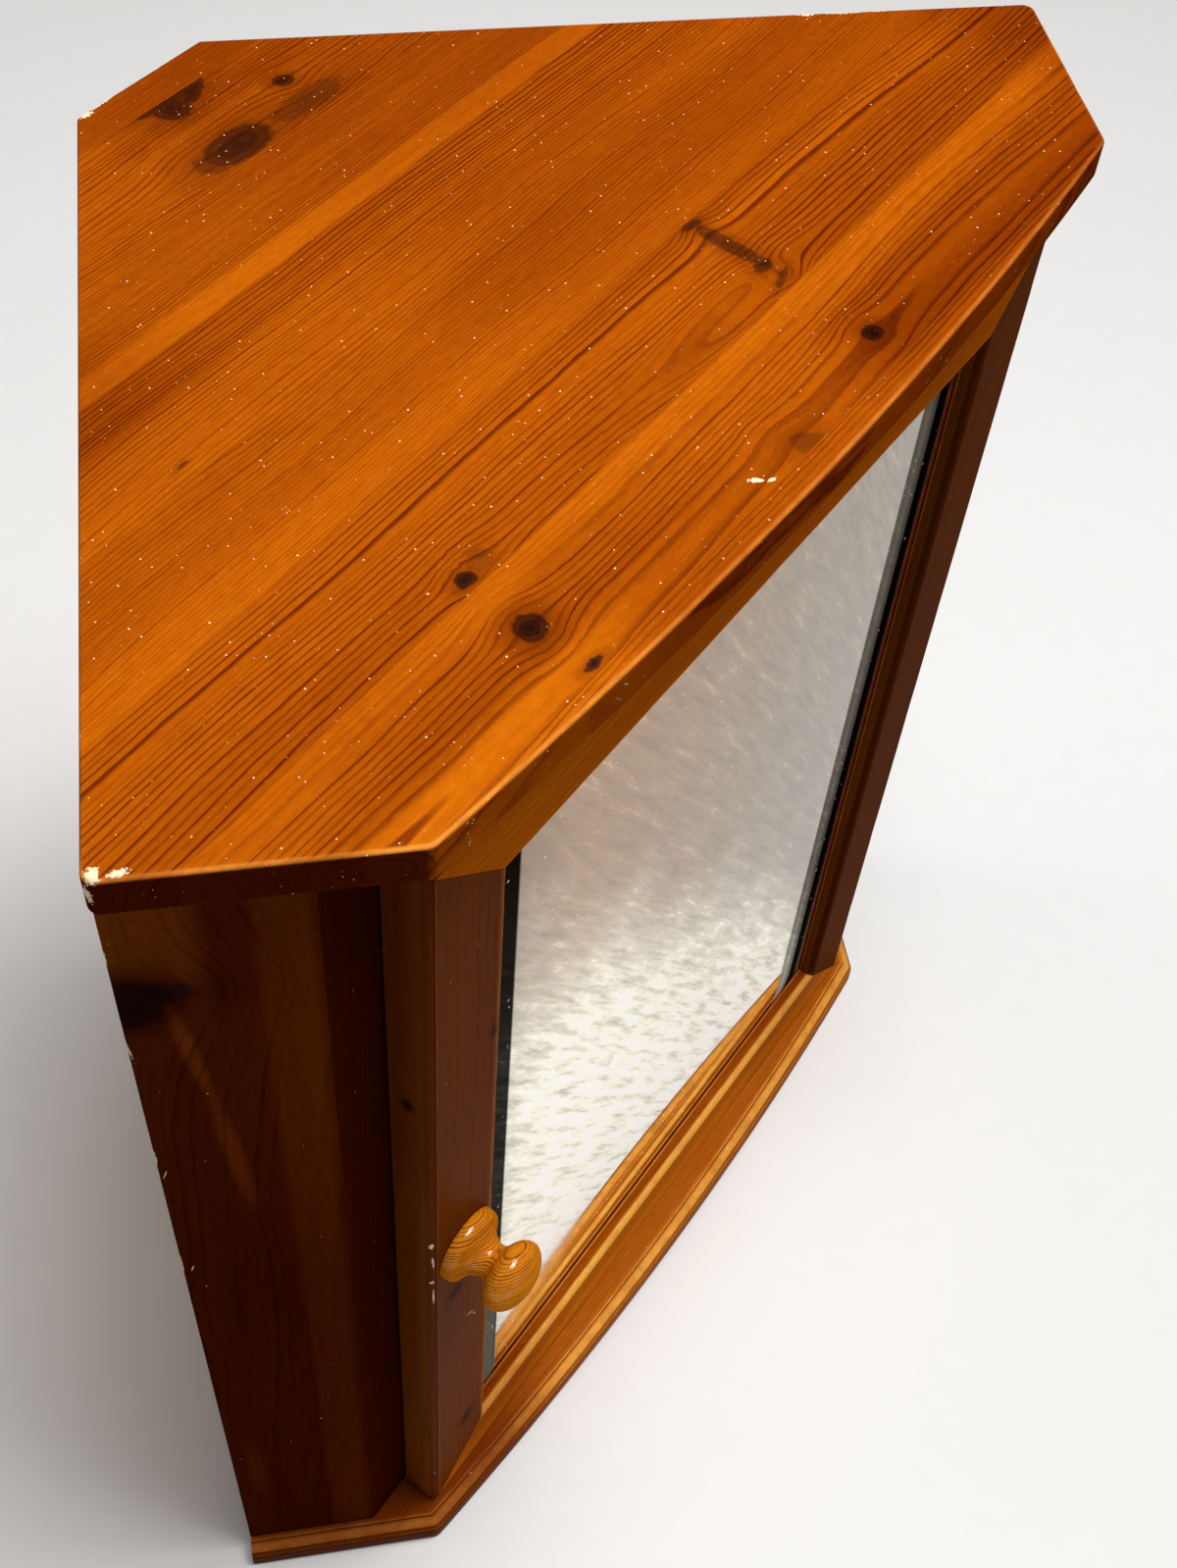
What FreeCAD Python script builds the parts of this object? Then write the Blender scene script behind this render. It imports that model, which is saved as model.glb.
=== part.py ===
import FreeCAD, Part
import math
import os

# Corner wall cabinet in stained pine, with one mirrored door hung on its right side.
# Millimetres. X runs to the right, Y runs back into the corner of the walls, Z runs up.
# The origin is the middle of the underside of the bottom board.

# Overall plan of the top and bottom boards
height = 606.0
front_chord = 400.0
return_edge = 90.7
corner_cut_width = 63.7
front_bow = 9.0
return_angle = 45.0
board_thickness = 16.0
front_corner_radius = 7.0
side_corner_radius = 4.0
top_upper_chamfer = 1.4
top_lower_chamfer = 1.0
mould_inset = 6.4
mould_step = 1.0
mould_radius = 5.4
mould_lower_radius = 2.4

# Carcass below the top board
front_setback = 28.1
return_inset = 8.8
side_thickness = 16.0
post_width = 40.0
post_thickness = 16.0
back_thickness = 12.0
head_rail_height = 40.0
post_arris_radius = 0.8

# Shelves and the battens they lie on
shelf_thickness = 12.0
shelf_clearance = 1.5
lower_shelf_height = 196.0
upper_shelf_height = 384.0
shelf_arris_radius = 1.5
batten_height = 14.0
batten_depth = 10.0
batten_end_gap = 14.0

# Hanging rails under the top board and their holes
rail_height = 45.0
rail_thickness = 16.0
rail_end_gap = 30.0
wall_hole_radius = 2.75
wall_hole_end = 40.0

# Loose tenons that hold the carcass to the two boards
tenon_thickness = 5.0
tenon_in_board = 9.0
tenon_in_panel = 16.0
return_tenon_width = 24.0
post_tenon_width = 20.0
back_tenon_width = 36.0
head_rail_tenon_width = 36.0
back_tenon_shares = (0.25, 0.75)
head_rail_tenon_share = 0.5

# Door frame
door_width = 384.4
door_bottom_gap = 2.3
door_top_gap = 17.6
door_thickness = 18.2
door_gap = 1.8
member_width = 39.0
outer_round_radius = 2.4
outer_quirk = 0.6
sight_round_radius = 3.3
lip_depth = 8.5
rebate_width = 8.0
mitre_angle = 45.0
quarter_turn = 90.0
mitre_tenon_length = 16.0
mitre_tenon_width = 18.0
mitre_tenon_thickness = 5.0
mitre_tenon_setback = 12.4

# Bevelled mirror and what holds it in the rebate
pane_clearance = 1.0
pane_thickness = 4.0
bevel_width = 23.0
bevel_drop = 2.0
pane_seat_gap = 0.1
backing_thickness = 3.0
bead_width = 7.0

# Turned knob, with heights counted from the door's face
knob_height_above_base = 294.8
knob_base_radius = 15.8
knob_rim_height = 3.4
knob_shoulder_middle_radius = 14.9
knob_shoulder_middle_height = 5.3
knob_shoulder_radius = 13.0
knob_shoulder_height = 6.4
knob_neck_radius = 7.3
knob_neck_height = 13.7
knob_head_radius = 15.0
knob_head_half_depth = 8.7
knob_head_centre = 23.6
knob_head_steps = 10
knob_sides = 32
knob_spigot_radius = 5.0
knob_spigot_length = 12.0

# Nesting hinges between the door's back and the front of the right post
leaf_thickness = 1.0
hinge_length = 60.0
hinge_end_distance = 75.0
door_leaf_reach = 14.0
leaf_side_clearance = 0.5
barrel_radius = 2.6
barrel_door_gap = 0.5
hinge_pin_radius = 1.25
hinge_pin_clearance = 0.05
door_knuckle_share = 0.5
knuckle_clearance = 0.3
hinge_screw_radius = 1.5
hinge_screw_head_radius = 2.6
hinge_screw_head_height = 0.4
hinge_screw_length = 12.0
frame_screw_inset = 5.0
door_screw_share = 0.5
door_screw_spacing_share = 0.45

# Magnetic catch pressed into the left post and its strike plate on the door
catch_height_above_base = 340.0
catch_length = 32.0
catch_width = 13.0
catch_depth = 15.0
catch_setback = 1.2
catch_stub_length = 20.0
catch_stub_depth = 7.0
catch_stub_reach = 10.0
pole_thickness = 1.5
pole_gap = 6.0
pole_length = 22.0
pole_depth = 10.0
pole_reach = 0.5
magnet_setback = 1.5
strike_length = 30.0
strike_width = 12.0
strike_thickness = 0.9
prong_spacing = 18.0
prong_width = 4.0
prong_thickness = 1.2
prong_length = 5.0

# One overrun for every cut that has to pass through a face, and how near counts as touching
overrun = 2.0
nearness = 0.05
full_circle = 2 * math.pi
quarter_circle = math.pi / 2

# Heights and depths that follow from the sizes above
turn = math.radians(return_angle)
panel_bottom = board_thickness
panel_top = height - board_thickness
half_chord = front_chord / 2
side_x = half_chord + return_edge * math.cos(turn)
side_y = return_edge * math.sin(turn)
back_x = corner_cut_width / 2
wall_edge = (side_x - back_x) / math.sin(turn)
back_y = side_y + wall_edge * math.cos(turn)
plan_centre = (back_y - front_bow) / 2

post_back = front_setback + post_thickness
door_back = front_setback - door_gap
door_front = door_back - door_thickness
door_half = door_width / 2
door_bottom = panel_bottom + door_bottom_gap
door_top = panel_top - door_top_gap
sight_half = door_half - member_width
sight_bottom = door_bottom + member_width
sight_top = door_top - member_width
lip_back = door_front + lip_depth
rebate_half = sight_half + rebate_width
rebate_bottom = sight_bottom - rebate_width
rebate_top = sight_top + rebate_width
pane_overlap = rebate_width - pane_clearance
pane_front = lip_back - bevel_drop * (bevel_width - pane_overlap) / bevel_width + pane_seat_gap
pane_back = pane_front + pane_thickness
backing_back = pane_back + backing_thickness

along_return = FreeCAD.Vector(math.cos(turn), math.sin(turn), 0)
along_wall = FreeCAD.Vector(-math.sin(turn), math.cos(turn), 0)
up = FreeCAD.Vector(0, 0, 1)
rightwards = FreeCAD.Vector(1, 0, 0)
backwards = FreeCAD.Vector(0, 1, 0)


def spot(x, y, z=0.0):
    """A point in the cabinet's plan, with Y counted from the front chord."""
    return FreeCAD.Vector(x, y, z)


def crossing(start, direction, other_start, other_direction):
    """The point in plan where two lines cross."""
    gap = other_start - start
    spread = direction.x * other_direction.y - direction.y * other_direction.x
    along = (gap.x * other_direction.y - gap.y * other_direction.x) / spread
    return start + direction * along


def prism(points, low, high):
    """A straight solid on a closed plan outline, from one height to another."""
    floor = [FreeCAD.Vector(p.x, p.y, low) for p in points]
    wire = Part.makePolygon(floor + [floor[0]])
    return Part.Face(wire).extrude(up * (high - low))


def block(low, high):
    """A rectangular solid between two opposite corners."""
    size = high - low
    return Part.makeBox(size.x, size.y, size.z, low)


def rod(start, direction, radius, length):
    """A round solid from a start point along a direction."""
    return Part.makeCylinder(radius, length, start, direction)


def flipped(shape):
    """The same piece on the other side of the middle plane."""
    return shape.mirror(FreeCAD.Vector(0, 0, 0), rightwards)


def flipped_point(point):
    return FreeCAD.Vector(-point.x, point.y, point.z)


def group(shapes):
    """Separate solids of like pieces that share one node."""
    return Part.makeCompound(shapes)


def upright_edges(shape, points):
    """The vertical edges of a shape that stand on any of the plan points."""
    found = []
    for edge in shape.Edges:
        ends = [vertex.Point for vertex in edge.Vertexes]
        if len(ends) < 2 or abs(ends[0].z - ends[1].z) < overrun:
            continue
        for point in points:
            if math.hypot(ends[0].x - point.x, ends[0].y - point.y) < nearness:
                found.append(edge)
                break
    return found


def level_edges(shape, level, keep=None):
    """The edges of a shape that lie at one height, or those of them that keep accepts."""
    found = []
    for edge in shape.Edges:
        box = edge.BoundBox
        flat = abs(box.ZMin - level) < nearness and abs(box.ZMax - level) < nearness
        if flat and (keep is None or keep(edge)):
            found.append(edge)
    return found


# Lines of the plan that the pieces share, each a point and a direction on the right side

def return_line(inset):
    """The return face, moved inwards by an inset."""
    return spot(half_chord, 0) + along_wall * inset, along_return


def wall_line(inset):
    """The face that lies on the wall, moved inwards by an inset."""
    return spot(side_x, side_y) - along_return * inset, along_wall


def back_line(inset):
    """The narrow face across the corner of the walls, moved inwards by an inset."""
    return spot(0, back_y - inset), rightwards


def front_line(depth):
    """A line across the cabinet at a depth behind the front chord."""
    return spot(0, depth), rightwards


# Top and bottom boards

def board_outline(inset, level):
    """Outline of a board: bowed front, two returns, two wall edges and the cut-off corner."""
    front = front_line(inset)
    front_corner = crossing(*front, *return_line(inset))
    side_corner = crossing(*return_line(inset), *wall_line(0))
    back_corner = spot(back_x, back_y)
    right = [front_corner, side_corner, back_corner]
    corners = right + [flipped_point(p) for p in reversed(right)]
    corners = [FreeCAD.Vector(p.x, p.y, level) for p in corners]
    edges = [Part.LineSegment(corners[i], corners[i + 1]).toShape() for i in range(len(corners) - 1)]
    bow_top = FreeCAD.Vector(0, inset - front_bow, level)
    edges.append(Part.Arc(corners[-1], bow_top, corners[0]).toShape())
    return Part.Wire(edges)


def board_slab(inset, low, high):
    return Part.Face(board_outline(inset, low)).extrude(up * (high - low))


def rounded_corners(slab, radius, points):
    return slab.makeFillet(radius, upright_edges(slab, points))


def both_sides(point):
    return [point, flipped_point(point)]


def tenon(place, low, high):
    """A loose tenon, standing, with its width along the place's direction."""
    middle, direction, width = place
    across = up.cross(direction) * (tenon_thickness / 2)
    reach = direction * (width / 2)
    corners = [middle - reach - across, middle + reach - across,
               middle + reach + across, middle - reach + across]
    return prism(corners, low, high)


def tenon_places():
    """Middle, direction and width of each tenon on the right side, in the middle of its panel."""
    return_middle = return_line(return_inset + side_thickness / 2)
    return_start = crossing(*front_line(post_back), *return_middle)
    return_end = crossing(*return_middle, *wall_line(0))
    post_middle = spot((post_inner_x() + post_arris().x) / 2, front_setback + post_thickness / 2)
    wall_middle = wall_line(back_thickness / 2)
    wall_start = crossing(*return_line(return_inset + side_thickness), *wall_middle)
    wall_end = crossing(*wall_middle, *back_line(back_thickness))
    places = [((return_start + return_end) / 2, along_return, return_tenon_width),
              (post_middle, rightwards, post_tenon_width)]
    for share in back_tenon_shares:
        middle = wall_start + (wall_end - wall_start) * share
        places.append((middle, along_wall, back_tenon_width))
    return places


def head_rail_tenon_place():
    middle = spot(post_inner_x() * head_rail_tenon_share, front_setback + post_thickness / 2)
    return middle, rightwards, head_rail_tenon_width


def top_tenons():
    """Tenons that cross the underside of the top board."""
    low = panel_top - tenon_in_panel
    high = panel_top + tenon_in_board
    right = [tenon(place, low, high) for place in tenon_places() + [head_rail_tenon_place()]]
    return right + [flipped(piece) for piece in right]


def bottom_tenons():
    """Tenons that cross the upper face of the bottom board."""
    low = panel_bottom - tenon_in_board
    high = panel_bottom + tenon_in_panel
    right = [tenon(place, low, high) for place in tenon_places()]
    return right + [flipped(piece) for piece in right]


def post_arris():
    """The outer front corner of the carcass, where post and return panel meet."""
    return crossing(*front_line(front_setback), *return_line(return_inset))


def post_inner_x():
    return post_arris().x - post_width


def is_moulded(edge):
    """True for the edges of the front and the two returns, which carry the moulding."""
    middle = edge.BoundBox.Center
    wall_point = wall_line(0)[0]
    distance = (spot(abs(middle.x), middle.y) - wall_point).dot(along_return)
    return distance < -mould_inset / 2 and middle.y < back_y - mould_inset


def make_top_board():
    slab = board_slab(0, panel_top, height)
    slab = rounded_corners(slab, front_corner_radius, both_sides(spot(half_chord, 0)))
    slab = rounded_corners(slab, side_corner_radius, both_sides(spot(side_x, side_y)))
    slab = slab.makeChamfer(top_upper_chamfer, level_edges(slab, height))
    slab = slab.makeChamfer(top_lower_chamfer, level_edges(slab, panel_top, is_moulded))
    return slab.cut(group(top_tenons()))


def make_bottom_board():
    slab = board_slab(0, 0, board_thickness - mould_step)
    slab = rounded_corners(slab, front_corner_radius, both_sides(spot(half_chord, 0)))
    slab = slab.makeFillet(mould_radius, level_edges(slab, board_thickness - mould_step, is_moulded))
    slab = slab.makeFillet(mould_lower_radius, level_edges(slab, 0, is_moulded))
    raised = board_slab(mould_inset, board_thickness - mould_step, board_thickness)
    slab = slab.fuse(raised).removeSplitter()
    return slab.cut(group(bottom_tenons()))


# Carcass panels, right side; the left side is the same turned over

def return_panel_outline():
    outer_front = post_arris()
    outer_back = crossing(*return_line(return_inset), *wall_line(0))
    inner_back = crossing(*return_line(return_inset + side_thickness), *wall_line(0))
    inner_front = crossing(*return_line(return_inset + side_thickness), *front_line(post_back))
    return [outer_front, outer_back, inner_back, inner_front]


def post_outline():
    inner_corner = crossing(*return_line(return_inset + side_thickness), *front_line(post_back))
    return [post_arris(), inner_corner, spot(post_inner_x(), post_back), spot(post_inner_x(), front_setback)]


def back_panel_outline():
    outer_side = crossing(*return_line(return_inset + side_thickness), *wall_line(0))
    outer_back = spot(back_x, back_y)
    inner_back = crossing(*wall_line(back_thickness), *back_line(back_thickness))
    inner_side = crossing(*return_line(return_inset + side_thickness), *wall_line(back_thickness))
    return [outer_side, outer_back, inner_back, inner_side]


def strip(start, end, inwards, low, high):
    """A straight strip against an inner face, from one point of the face to another."""
    return prism([start, end, end + inwards, start + inwards], low, high)


def wall_face_ends(end_gap):
    """Two points on a back panel's inner face, each a gap short of the panel's end."""
    start = crossing(*wall_line(back_thickness), *return_line(return_inset + side_thickness))
    end = crossing(*wall_line(back_thickness), *back_line(back_thickness))
    return start + along_wall * end_gap, end - along_wall * end_gap


def return_face_ends(end_gap):
    """Two points on a return panel's inner face, each a gap short of the panel's end."""
    return_face = return_line(return_inset + side_thickness)
    start = crossing(*return_face, *front_line(post_back))
    end = crossing(*return_face, *wall_line(back_thickness))
    return start + along_return * end_gap, end - along_return * end_gap


def right_battens():
    """Battens under both shelves, along the back panel and along the return."""
    battens = []
    for shelf_height in (lower_shelf_height, upper_shelf_height):
        low = shelf_height - batten_height
        on_wall = strip(*wall_face_ends(batten_end_gap), along_return * -batten_depth, low, shelf_height)
        on_return = strip(*return_face_ends(batten_end_gap), along_wall * batten_depth, low, shelf_height)
        battens += [on_wall, on_return]
    return battens


def panel_cuts():
    return group(top_tenons() + bottom_tenons())


def make_return_panel():
    panel = prism(return_panel_outline(), panel_bottom, panel_top)
    return panel.cut(panel_cuts())


def make_post():
    post = prism(post_outline(), panel_bottom, panel_top)
    inner_front = spot(post_inner_x(), front_setback)
    post = post.makeFillet(post_arris_radius, upright_edges(post, [inner_front]))
    return post.cut(panel_cuts())


def rail_middle_level():
    return panel_top - rail_height / 2


def wall_holes(radius):
    """Holes for the screws that fix the cabinet to the right wall."""
    start, end = wall_face_ends(rail_end_gap)
    holes = []
    for place in (start + along_wall * wall_hole_end, end - along_wall * wall_hole_end):
        inner = place - along_return * (rail_thickness + overrun)
        length = rail_thickness + back_thickness + overrun + overrun
        holes.append(rod(spot(inner.x, inner.y, rail_middle_level()), along_return, radius, length))
    return holes


def make_back_panel():
    panel = prism(back_panel_outline(), panel_bottom, panel_top)
    panel = panel.cut(panel_cuts())
    return panel.cut(group(wall_holes(wall_hole_radius)))


def make_hanging_rail():
    ends = wall_face_ends(rail_end_gap)
    rail = strip(*ends, along_return * -rail_thickness, panel_top - rail_height, panel_top)
    return rail.cut(group(wall_holes(wall_hole_radius)))


def make_corner_strip():
    outer = spot(back_x, back_y)
    inner = crossing(*wall_line(back_thickness), *back_line(back_thickness))
    return prism([outer, inner, flipped_point(inner), flipped_point(outer)], panel_bottom, panel_top)


def make_head_rail():
    low = spot(-post_inner_x(), front_setback, panel_top - head_rail_height)
    rail = block(low, spot(post_inner_x(), post_back, panel_top))
    lower_front = [edge for edge in level_edges(rail, panel_top - head_rail_height)
                   if edge.BoundBox.YMax < front_setback + post_arris_radius]
    return rail.makeFillet(post_arris_radius, lower_front).cut(group(top_tenons()))


def make_shelf(underside):
    return_face = return_line(return_inset + side_thickness + shelf_clearance)
    wall_face = wall_line(back_thickness + shelf_clearance)
    back_face = back_line(back_thickness + shelf_clearance)
    right = [crossing(*return_face, *front_line(post_back + shelf_clearance)),
             crossing(*return_face, *wall_face), crossing(*wall_face, *back_face)]
    outline = right + [flipped_point(p) for p in reversed(right)]
    shelf = prism(outline, underside, underside + shelf_thickness)
    front_edges = [edge for edge in shelf.Edges
                   if edge.BoundBox.YMax < post_back + shelf_clearance + nearness
                   and edge.BoundBox.XLength > half_chord]
    return shelf.makeFillet(shelf_arris_radius, front_edges)


# Door frame: four mitred members of one moulded section

def member_section():
    """The section in plan of the right stile, from its outer side to its sight edge."""
    outer = door_half
    sight = sight_half
    quirk_front = door_front + outer_quirk
    turn_share = math.sqrt(2) / 2
    round_middle = spot(outer - outer_round_radius * (1 - turn_share),
                        quirk_front + outer_round_radius * (1 - turn_share))
    sight_middle = spot(sight + sight_round_radius * (1 - turn_share),
                        door_front + sight_round_radius * (1 - turn_share))
    back_outer = spot(outer, door_back)
    side_end = spot(outer, quirk_front + outer_round_radius)
    round_end = spot(outer - outer_round_radius, quirk_front)
    face_start = spot(outer - outer_round_radius, door_front)
    face_end = spot(sight + sight_round_radius, door_front)
    sight_start = spot(sight, door_front + sight_round_radius)
    lip_corner = spot(sight, lip_back)
    rebate_corner = spot(rebate_half, lip_back)
    back_inner = spot(rebate_half, door_back)
    lines = [(back_outer, side_end), (round_end, face_start), (face_start, face_end),
             (sight_start, lip_corner), (lip_corner, rebate_corner),
             (rebate_corner, back_inner), (back_inner, back_outer)]
    edges = [Part.LineSegment(a, b).toShape() for a, b in lines]
    edges.append(Part.Arc(side_end, round_middle, round_end).toShape())
    edges.append(Part.Arc(face_end, sight_middle, sight_start).toShape())
    return Part.Wire(Part.__sortEdges__(edges))


def mitred_length(length, face):
    """A member of a length along Z from zero, with both ends cut at 45 degrees."""
    stick = face.extrude(up * length)
    reach = door_half - overrun
    deep = door_front - overrun
    thick = door_thickness + overrun + overrun
    low = [spot(door_half, deep, 0), spot(reach - member_width, deep, 0),
           spot(reach - member_width, deep, member_width + overrun)]
    wedge = Part.Face(Part.makePolygon(low + [low[0]])).extrude(backwards * thick)
    top = wedge.mirror(spot(0, 0, length / 2), up)
    return stick.cut(wedge).cut(top)


def make_mitre_tenons():
    """Loose tenons across the four mitres, in the solid part behind the lip."""
    inwards = (member_width - rebate_width) / 2
    half_size = FreeCAD.Vector(mitre_tenon_length / 2, mitre_tenon_thickness / 2, mitre_tenon_width / 2)
    pieces = []
    for side in (-1, 1):
        for level, rise in ((door_bottom, 1), (door_top, -1)):
            piece = block(half_size * -1, half_size)
            piece.rotate(spot(0, 0), backwards, -mitre_angle * side * rise)
            piece.translate(spot(side * (door_half - inwards), door_front + mitre_tenon_setback,
                                 level + rise * inwards))
            pieces.append(piece)
    return pieces


def make_right_stile():
    stile = mitred_length(door_top - door_bottom, Part.Face(member_section()))
    stile.translate(up * door_bottom)
    return stile.cut(group(make_mitre_tenons()))


def make_left_stile():
    stile = mitred_length(door_top - door_bottom, Part.Face(member_section()))
    stile.translate(up * door_bottom)
    stile = flipped(stile).cut(group(make_mitre_tenons()))
    return stile.cut(knob_spigot()).cut(group(strike_prongs()))


def make_rail(level, rise):
    """The door's bottom rail, rise +1, or its top rail, rise -1."""
    rail = mitred_length(door_width, Part.Face(member_section()))
    rail.translate(rightwards * -door_half)
    rail.rotate(spot(0, 0), backwards, quarter_turn)
    if rise < 0:
        rail = rail.mirror(FreeCAD.Vector(0, 0, 0), up)
    box = rail.BoundBox
    drop = box.ZMin if rise > 0 else box.ZMax
    rail.translate(FreeCAD.Vector(-box.XMin - door_half, 0, level - drop))
    return rail.cut(group(make_mitre_tenons()))


# Mirror, backing board and beads

def rectangle_corners(half_width, low, high, depth):
    return [spot(-half_width, depth, low), spot(half_width, depth, low),
            spot(half_width, depth, high), spot(-half_width, depth, high)]


def rectangle(half_width, low, high, depth):
    corners = rectangle_corners(half_width, low, high, depth)
    return Part.makePolygon(corners + [corners[0]])


def make_mirror():
    half = rebate_half - pane_clearance
    low = rebate_bottom + pane_clearance
    high = rebate_top - pane_clearance
    edge_front = pane_front + bevel_drop
    plate = block(spot(-half, edge_front, low), spot(half, pane_back, high))
    rim = rectangle(half, low, high, edge_front)
    field = rectangle(half - bevel_width, low + bevel_width, high - bevel_width, pane_front)
    return plate.fuse(Part.makeLoft([rim, field], True, True)).removeSplitter()


def make_backing_board():
    half = rebate_half - pane_clearance
    low = spot(-half, pane_back, rebate_bottom + pane_clearance)
    return block(low, spot(half, backing_back, rebate_top - pane_clearance))


def bead(start, end, inner_end, inner_start):
    """One mitred bead, on four corners in the plane behind the backing board."""
    wire = Part.makePolygon([start, end, inner_end, inner_start, start])
    return Part.Face(wire).extrude(backwards * (door_back - backing_back))


def make_beads():
    """Four mitred beads behind the backing board."""
    outer = rectangle_corners(rebate_half, rebate_bottom, rebate_top, backing_back)
    inner = rectangle_corners(rebate_half - bead_width, rebate_bottom + bead_width,
                              rebate_top - bead_width, backing_back)
    ends = list(zip(outer, inner))
    sides = zip(ends, ends[1:] + ends[:1])
    return group([bead(first[0], second[0], second[1], first[1]) for first, second in sides])


# Knob and the screw that holds it

knob_x = -(door_half - member_width / 2)


def on_knob_axis(distance):
    """A point on the knob's axis, at a distance in front of the door's face."""
    return spot(knob_x, door_front - distance, knob_height_above_base)


def knob_ring(radius, reach):
    """Points around the knob's axis, at a radius and a distance from the door's face."""
    step = full_circle / knob_sides
    return [on_knob_axis(reach) + spot(radius * math.cos(step * count), 0, radius * math.sin(step * count))
            for count in range(knob_sides)]


def flat_face(points):
    return Part.Face(Part.makePolygon(points + [points[0]]))


def make_knob():
    """Turned knob: a rimmed base, a slope into the neck and a flattened round head."""
    neck_turn = math.acos(knob_neck_radius / knob_head_radius)
    step = (quarter_circle + neck_turn) / knob_head_steps
    head = [(knob_head_radius * math.cos(step * count - neck_turn),
             knob_head_centre + knob_head_half_depth * math.sin(step * count - neck_turn))
            for count in range(knob_head_steps)]
    base = [(knob_base_radius, 0), (knob_base_radius, knob_rim_height),
            (knob_shoulder_middle_radius, knob_shoulder_middle_height),
            (knob_shoulder_radius, knob_shoulder_height), (knob_neck_radius, knob_neck_height)]
    rings = [knob_ring(radius, reach) for radius, reach in base + head]
    tip = on_knob_axis(knob_head_centre + knob_head_half_depth)
    faces = [flat_face(rings[0])]
    for near, far in zip(rings, rings[1:] + [[tip] * knob_sides]):
        for count in range(knob_sides):
            after = (count + 1) % knob_sides
            if far[count] == tip:
                faces.append(flat_face([near[count], near[after], tip]))
            else:
                faces.append(flat_face([near[count], near[after], far[after], far[count]]))
    knob = Part.Solid(Part.Shell(faces))
    if knob.Volume < 0:
        knob.reverse()
    return knob.fuse(knob_spigot())


def knob_spigot():
    """The knob's round spigot, glued into a blind hole in the stile."""
    return rod(on_knob_axis(0), backwards, knob_spigot_radius, knob_spigot_length)


# Hinges

axis_x = door_half + barrel_door_gap + barrel_radius
axis_y = door_back + leaf_thickness - barrel_radius
frame_leaf_front = front_setback - leaf_thickness
door_leaf_back = door_back + leaf_thickness
door_knuckle_length = hinge_length * door_knuckle_share
hinge_levels = (door_bottom + hinge_end_distance, door_top - hinge_end_distance)


def barrel(low, high):
    return rod(spot(axis_x, axis_y, low), up, barrel_radius, high - low)


def hinge_pin(level):
    return rod(spot(axis_x, axis_y, level - hinge_length / 2), up, hinge_pin_radius, hinge_length)


def frame_screw_spots(level):
    """Screws of the post's leaf, in the two arms above and below the door's leaf."""
    x = post_inner_x() + frame_screw_inset
    arm = (hinge_length + door_knuckle_length) / 4
    return [spot(x, frame_leaf_front, level - arm), spot(x, frame_leaf_front, level + arm)]


def door_screw_spots(level):
    x = door_half - door_leaf_reach * door_screw_share
    rise = door_knuckle_length * door_screw_spacing_share / 2
    return [spot(x, door_leaf_back, level - rise), spot(x, door_leaf_back, level + rise)]


def flat_screw(point, direction):
    """A screw with a thin flat head on a leaf, driven from a point along a direction."""
    head = rod(point - direction * hinge_screw_head_height, direction, hinge_screw_head_radius,
               hinge_screw_head_height)
    return rod(point, direction, hinge_screw_radius, hinge_screw_length).fuse(head).removeSplitter()


def frame_screws(level):
    return [flat_screw(point, backwards) for point in frame_screw_spots(level)]


def door_screws(level):
    return [flat_screw(point, backwards * -1) for point in door_screw_spots(level)]


def make_frame_leaf(level):
    """The outer leaf, with a window that the door's leaf nests in."""
    low = level - hinge_length / 2
    high = level + hinge_length / 2
    inner_x = post_inner_x() + frame_screw_inset - hinge_screw_head_radius - leaf_side_clearance
    plate = block(spot(inner_x, frame_leaf_front, low), spot(axis_x, front_setback, high))
    window_low = level - door_knuckle_length / 2 - knuckle_clearance
    window_high = level + door_knuckle_length / 2 + knuckle_clearance
    window_x = door_half - door_leaf_reach - leaf_side_clearance
    window = block(spot(window_x, frame_leaf_front - overrun, window_low),
                   spot(axis_x + overrun, front_setback + overrun, window_high))
    leaf = plate.cut(window).fuse([barrel(low, window_low), barrel(window_high, high)])
    bore = rod(spot(axis_x, axis_y, low - overrun), up, hinge_pin_radius, hinge_length + overrun + overrun)
    return leaf.removeSplitter().cut(bore).cut(group(frame_screws(level)))


def make_door_leaf(level):
    """The inner leaf, whose one knuckle turns on the pin between the outer leaf's two."""
    low = level - door_knuckle_length / 2
    high = level + door_knuckle_length / 2
    plate = block(spot(door_half - door_leaf_reach, door_back, low), spot(axis_x, door_leaf_back, high))
    leaf = plate.fuse(barrel(low, high)).removeSplitter()
    bore = rod(spot(axis_x, axis_y, low - overrun), up, hinge_pin_radius + hinge_pin_clearance,
               door_knuckle_length + overrun + overrun)
    return leaf.cut(bore).cut(group(door_screws(level)))


# Magnetic catch and strike plate

catch_x = -post_inner_x()
catch_front = front_setback + catch_setback


def catch_pole_boxes():
    """Two steel pole plates on either side of a magnet, all facing the door."""
    middle = catch_x + catch_width / 2
    front = front_setback - pole_reach
    back = catch_front + pole_depth
    low = catch_height_above_base - pole_length / 2
    high = catch_height_above_base + pole_length / 2
    half_gap = pole_gap / 2
    left = block(spot(middle - half_gap - pole_thickness, front, low), spot(middle - half_gap, back, high))
    right = block(spot(middle + half_gap, front, low), spot(middle + half_gap + pole_thickness, back, high))
    magnet = block(spot(middle - half_gap, front + magnet_setback, low), spot(middle + half_gap, back, high))
    return left, right, magnet


def catch_stub():
    """The housing's rectangular stub, pressed into a mortise in the post."""
    middle_y = catch_front + catch_depth / 2
    low = spot(catch_x - catch_stub_reach, middle_y - catch_stub_depth / 2,
               catch_height_above_base - catch_stub_length / 2)
    high = spot(catch_x, middle_y + catch_stub_depth / 2,
                catch_height_above_base + catch_stub_length / 2)
    return block(low, high)


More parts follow.
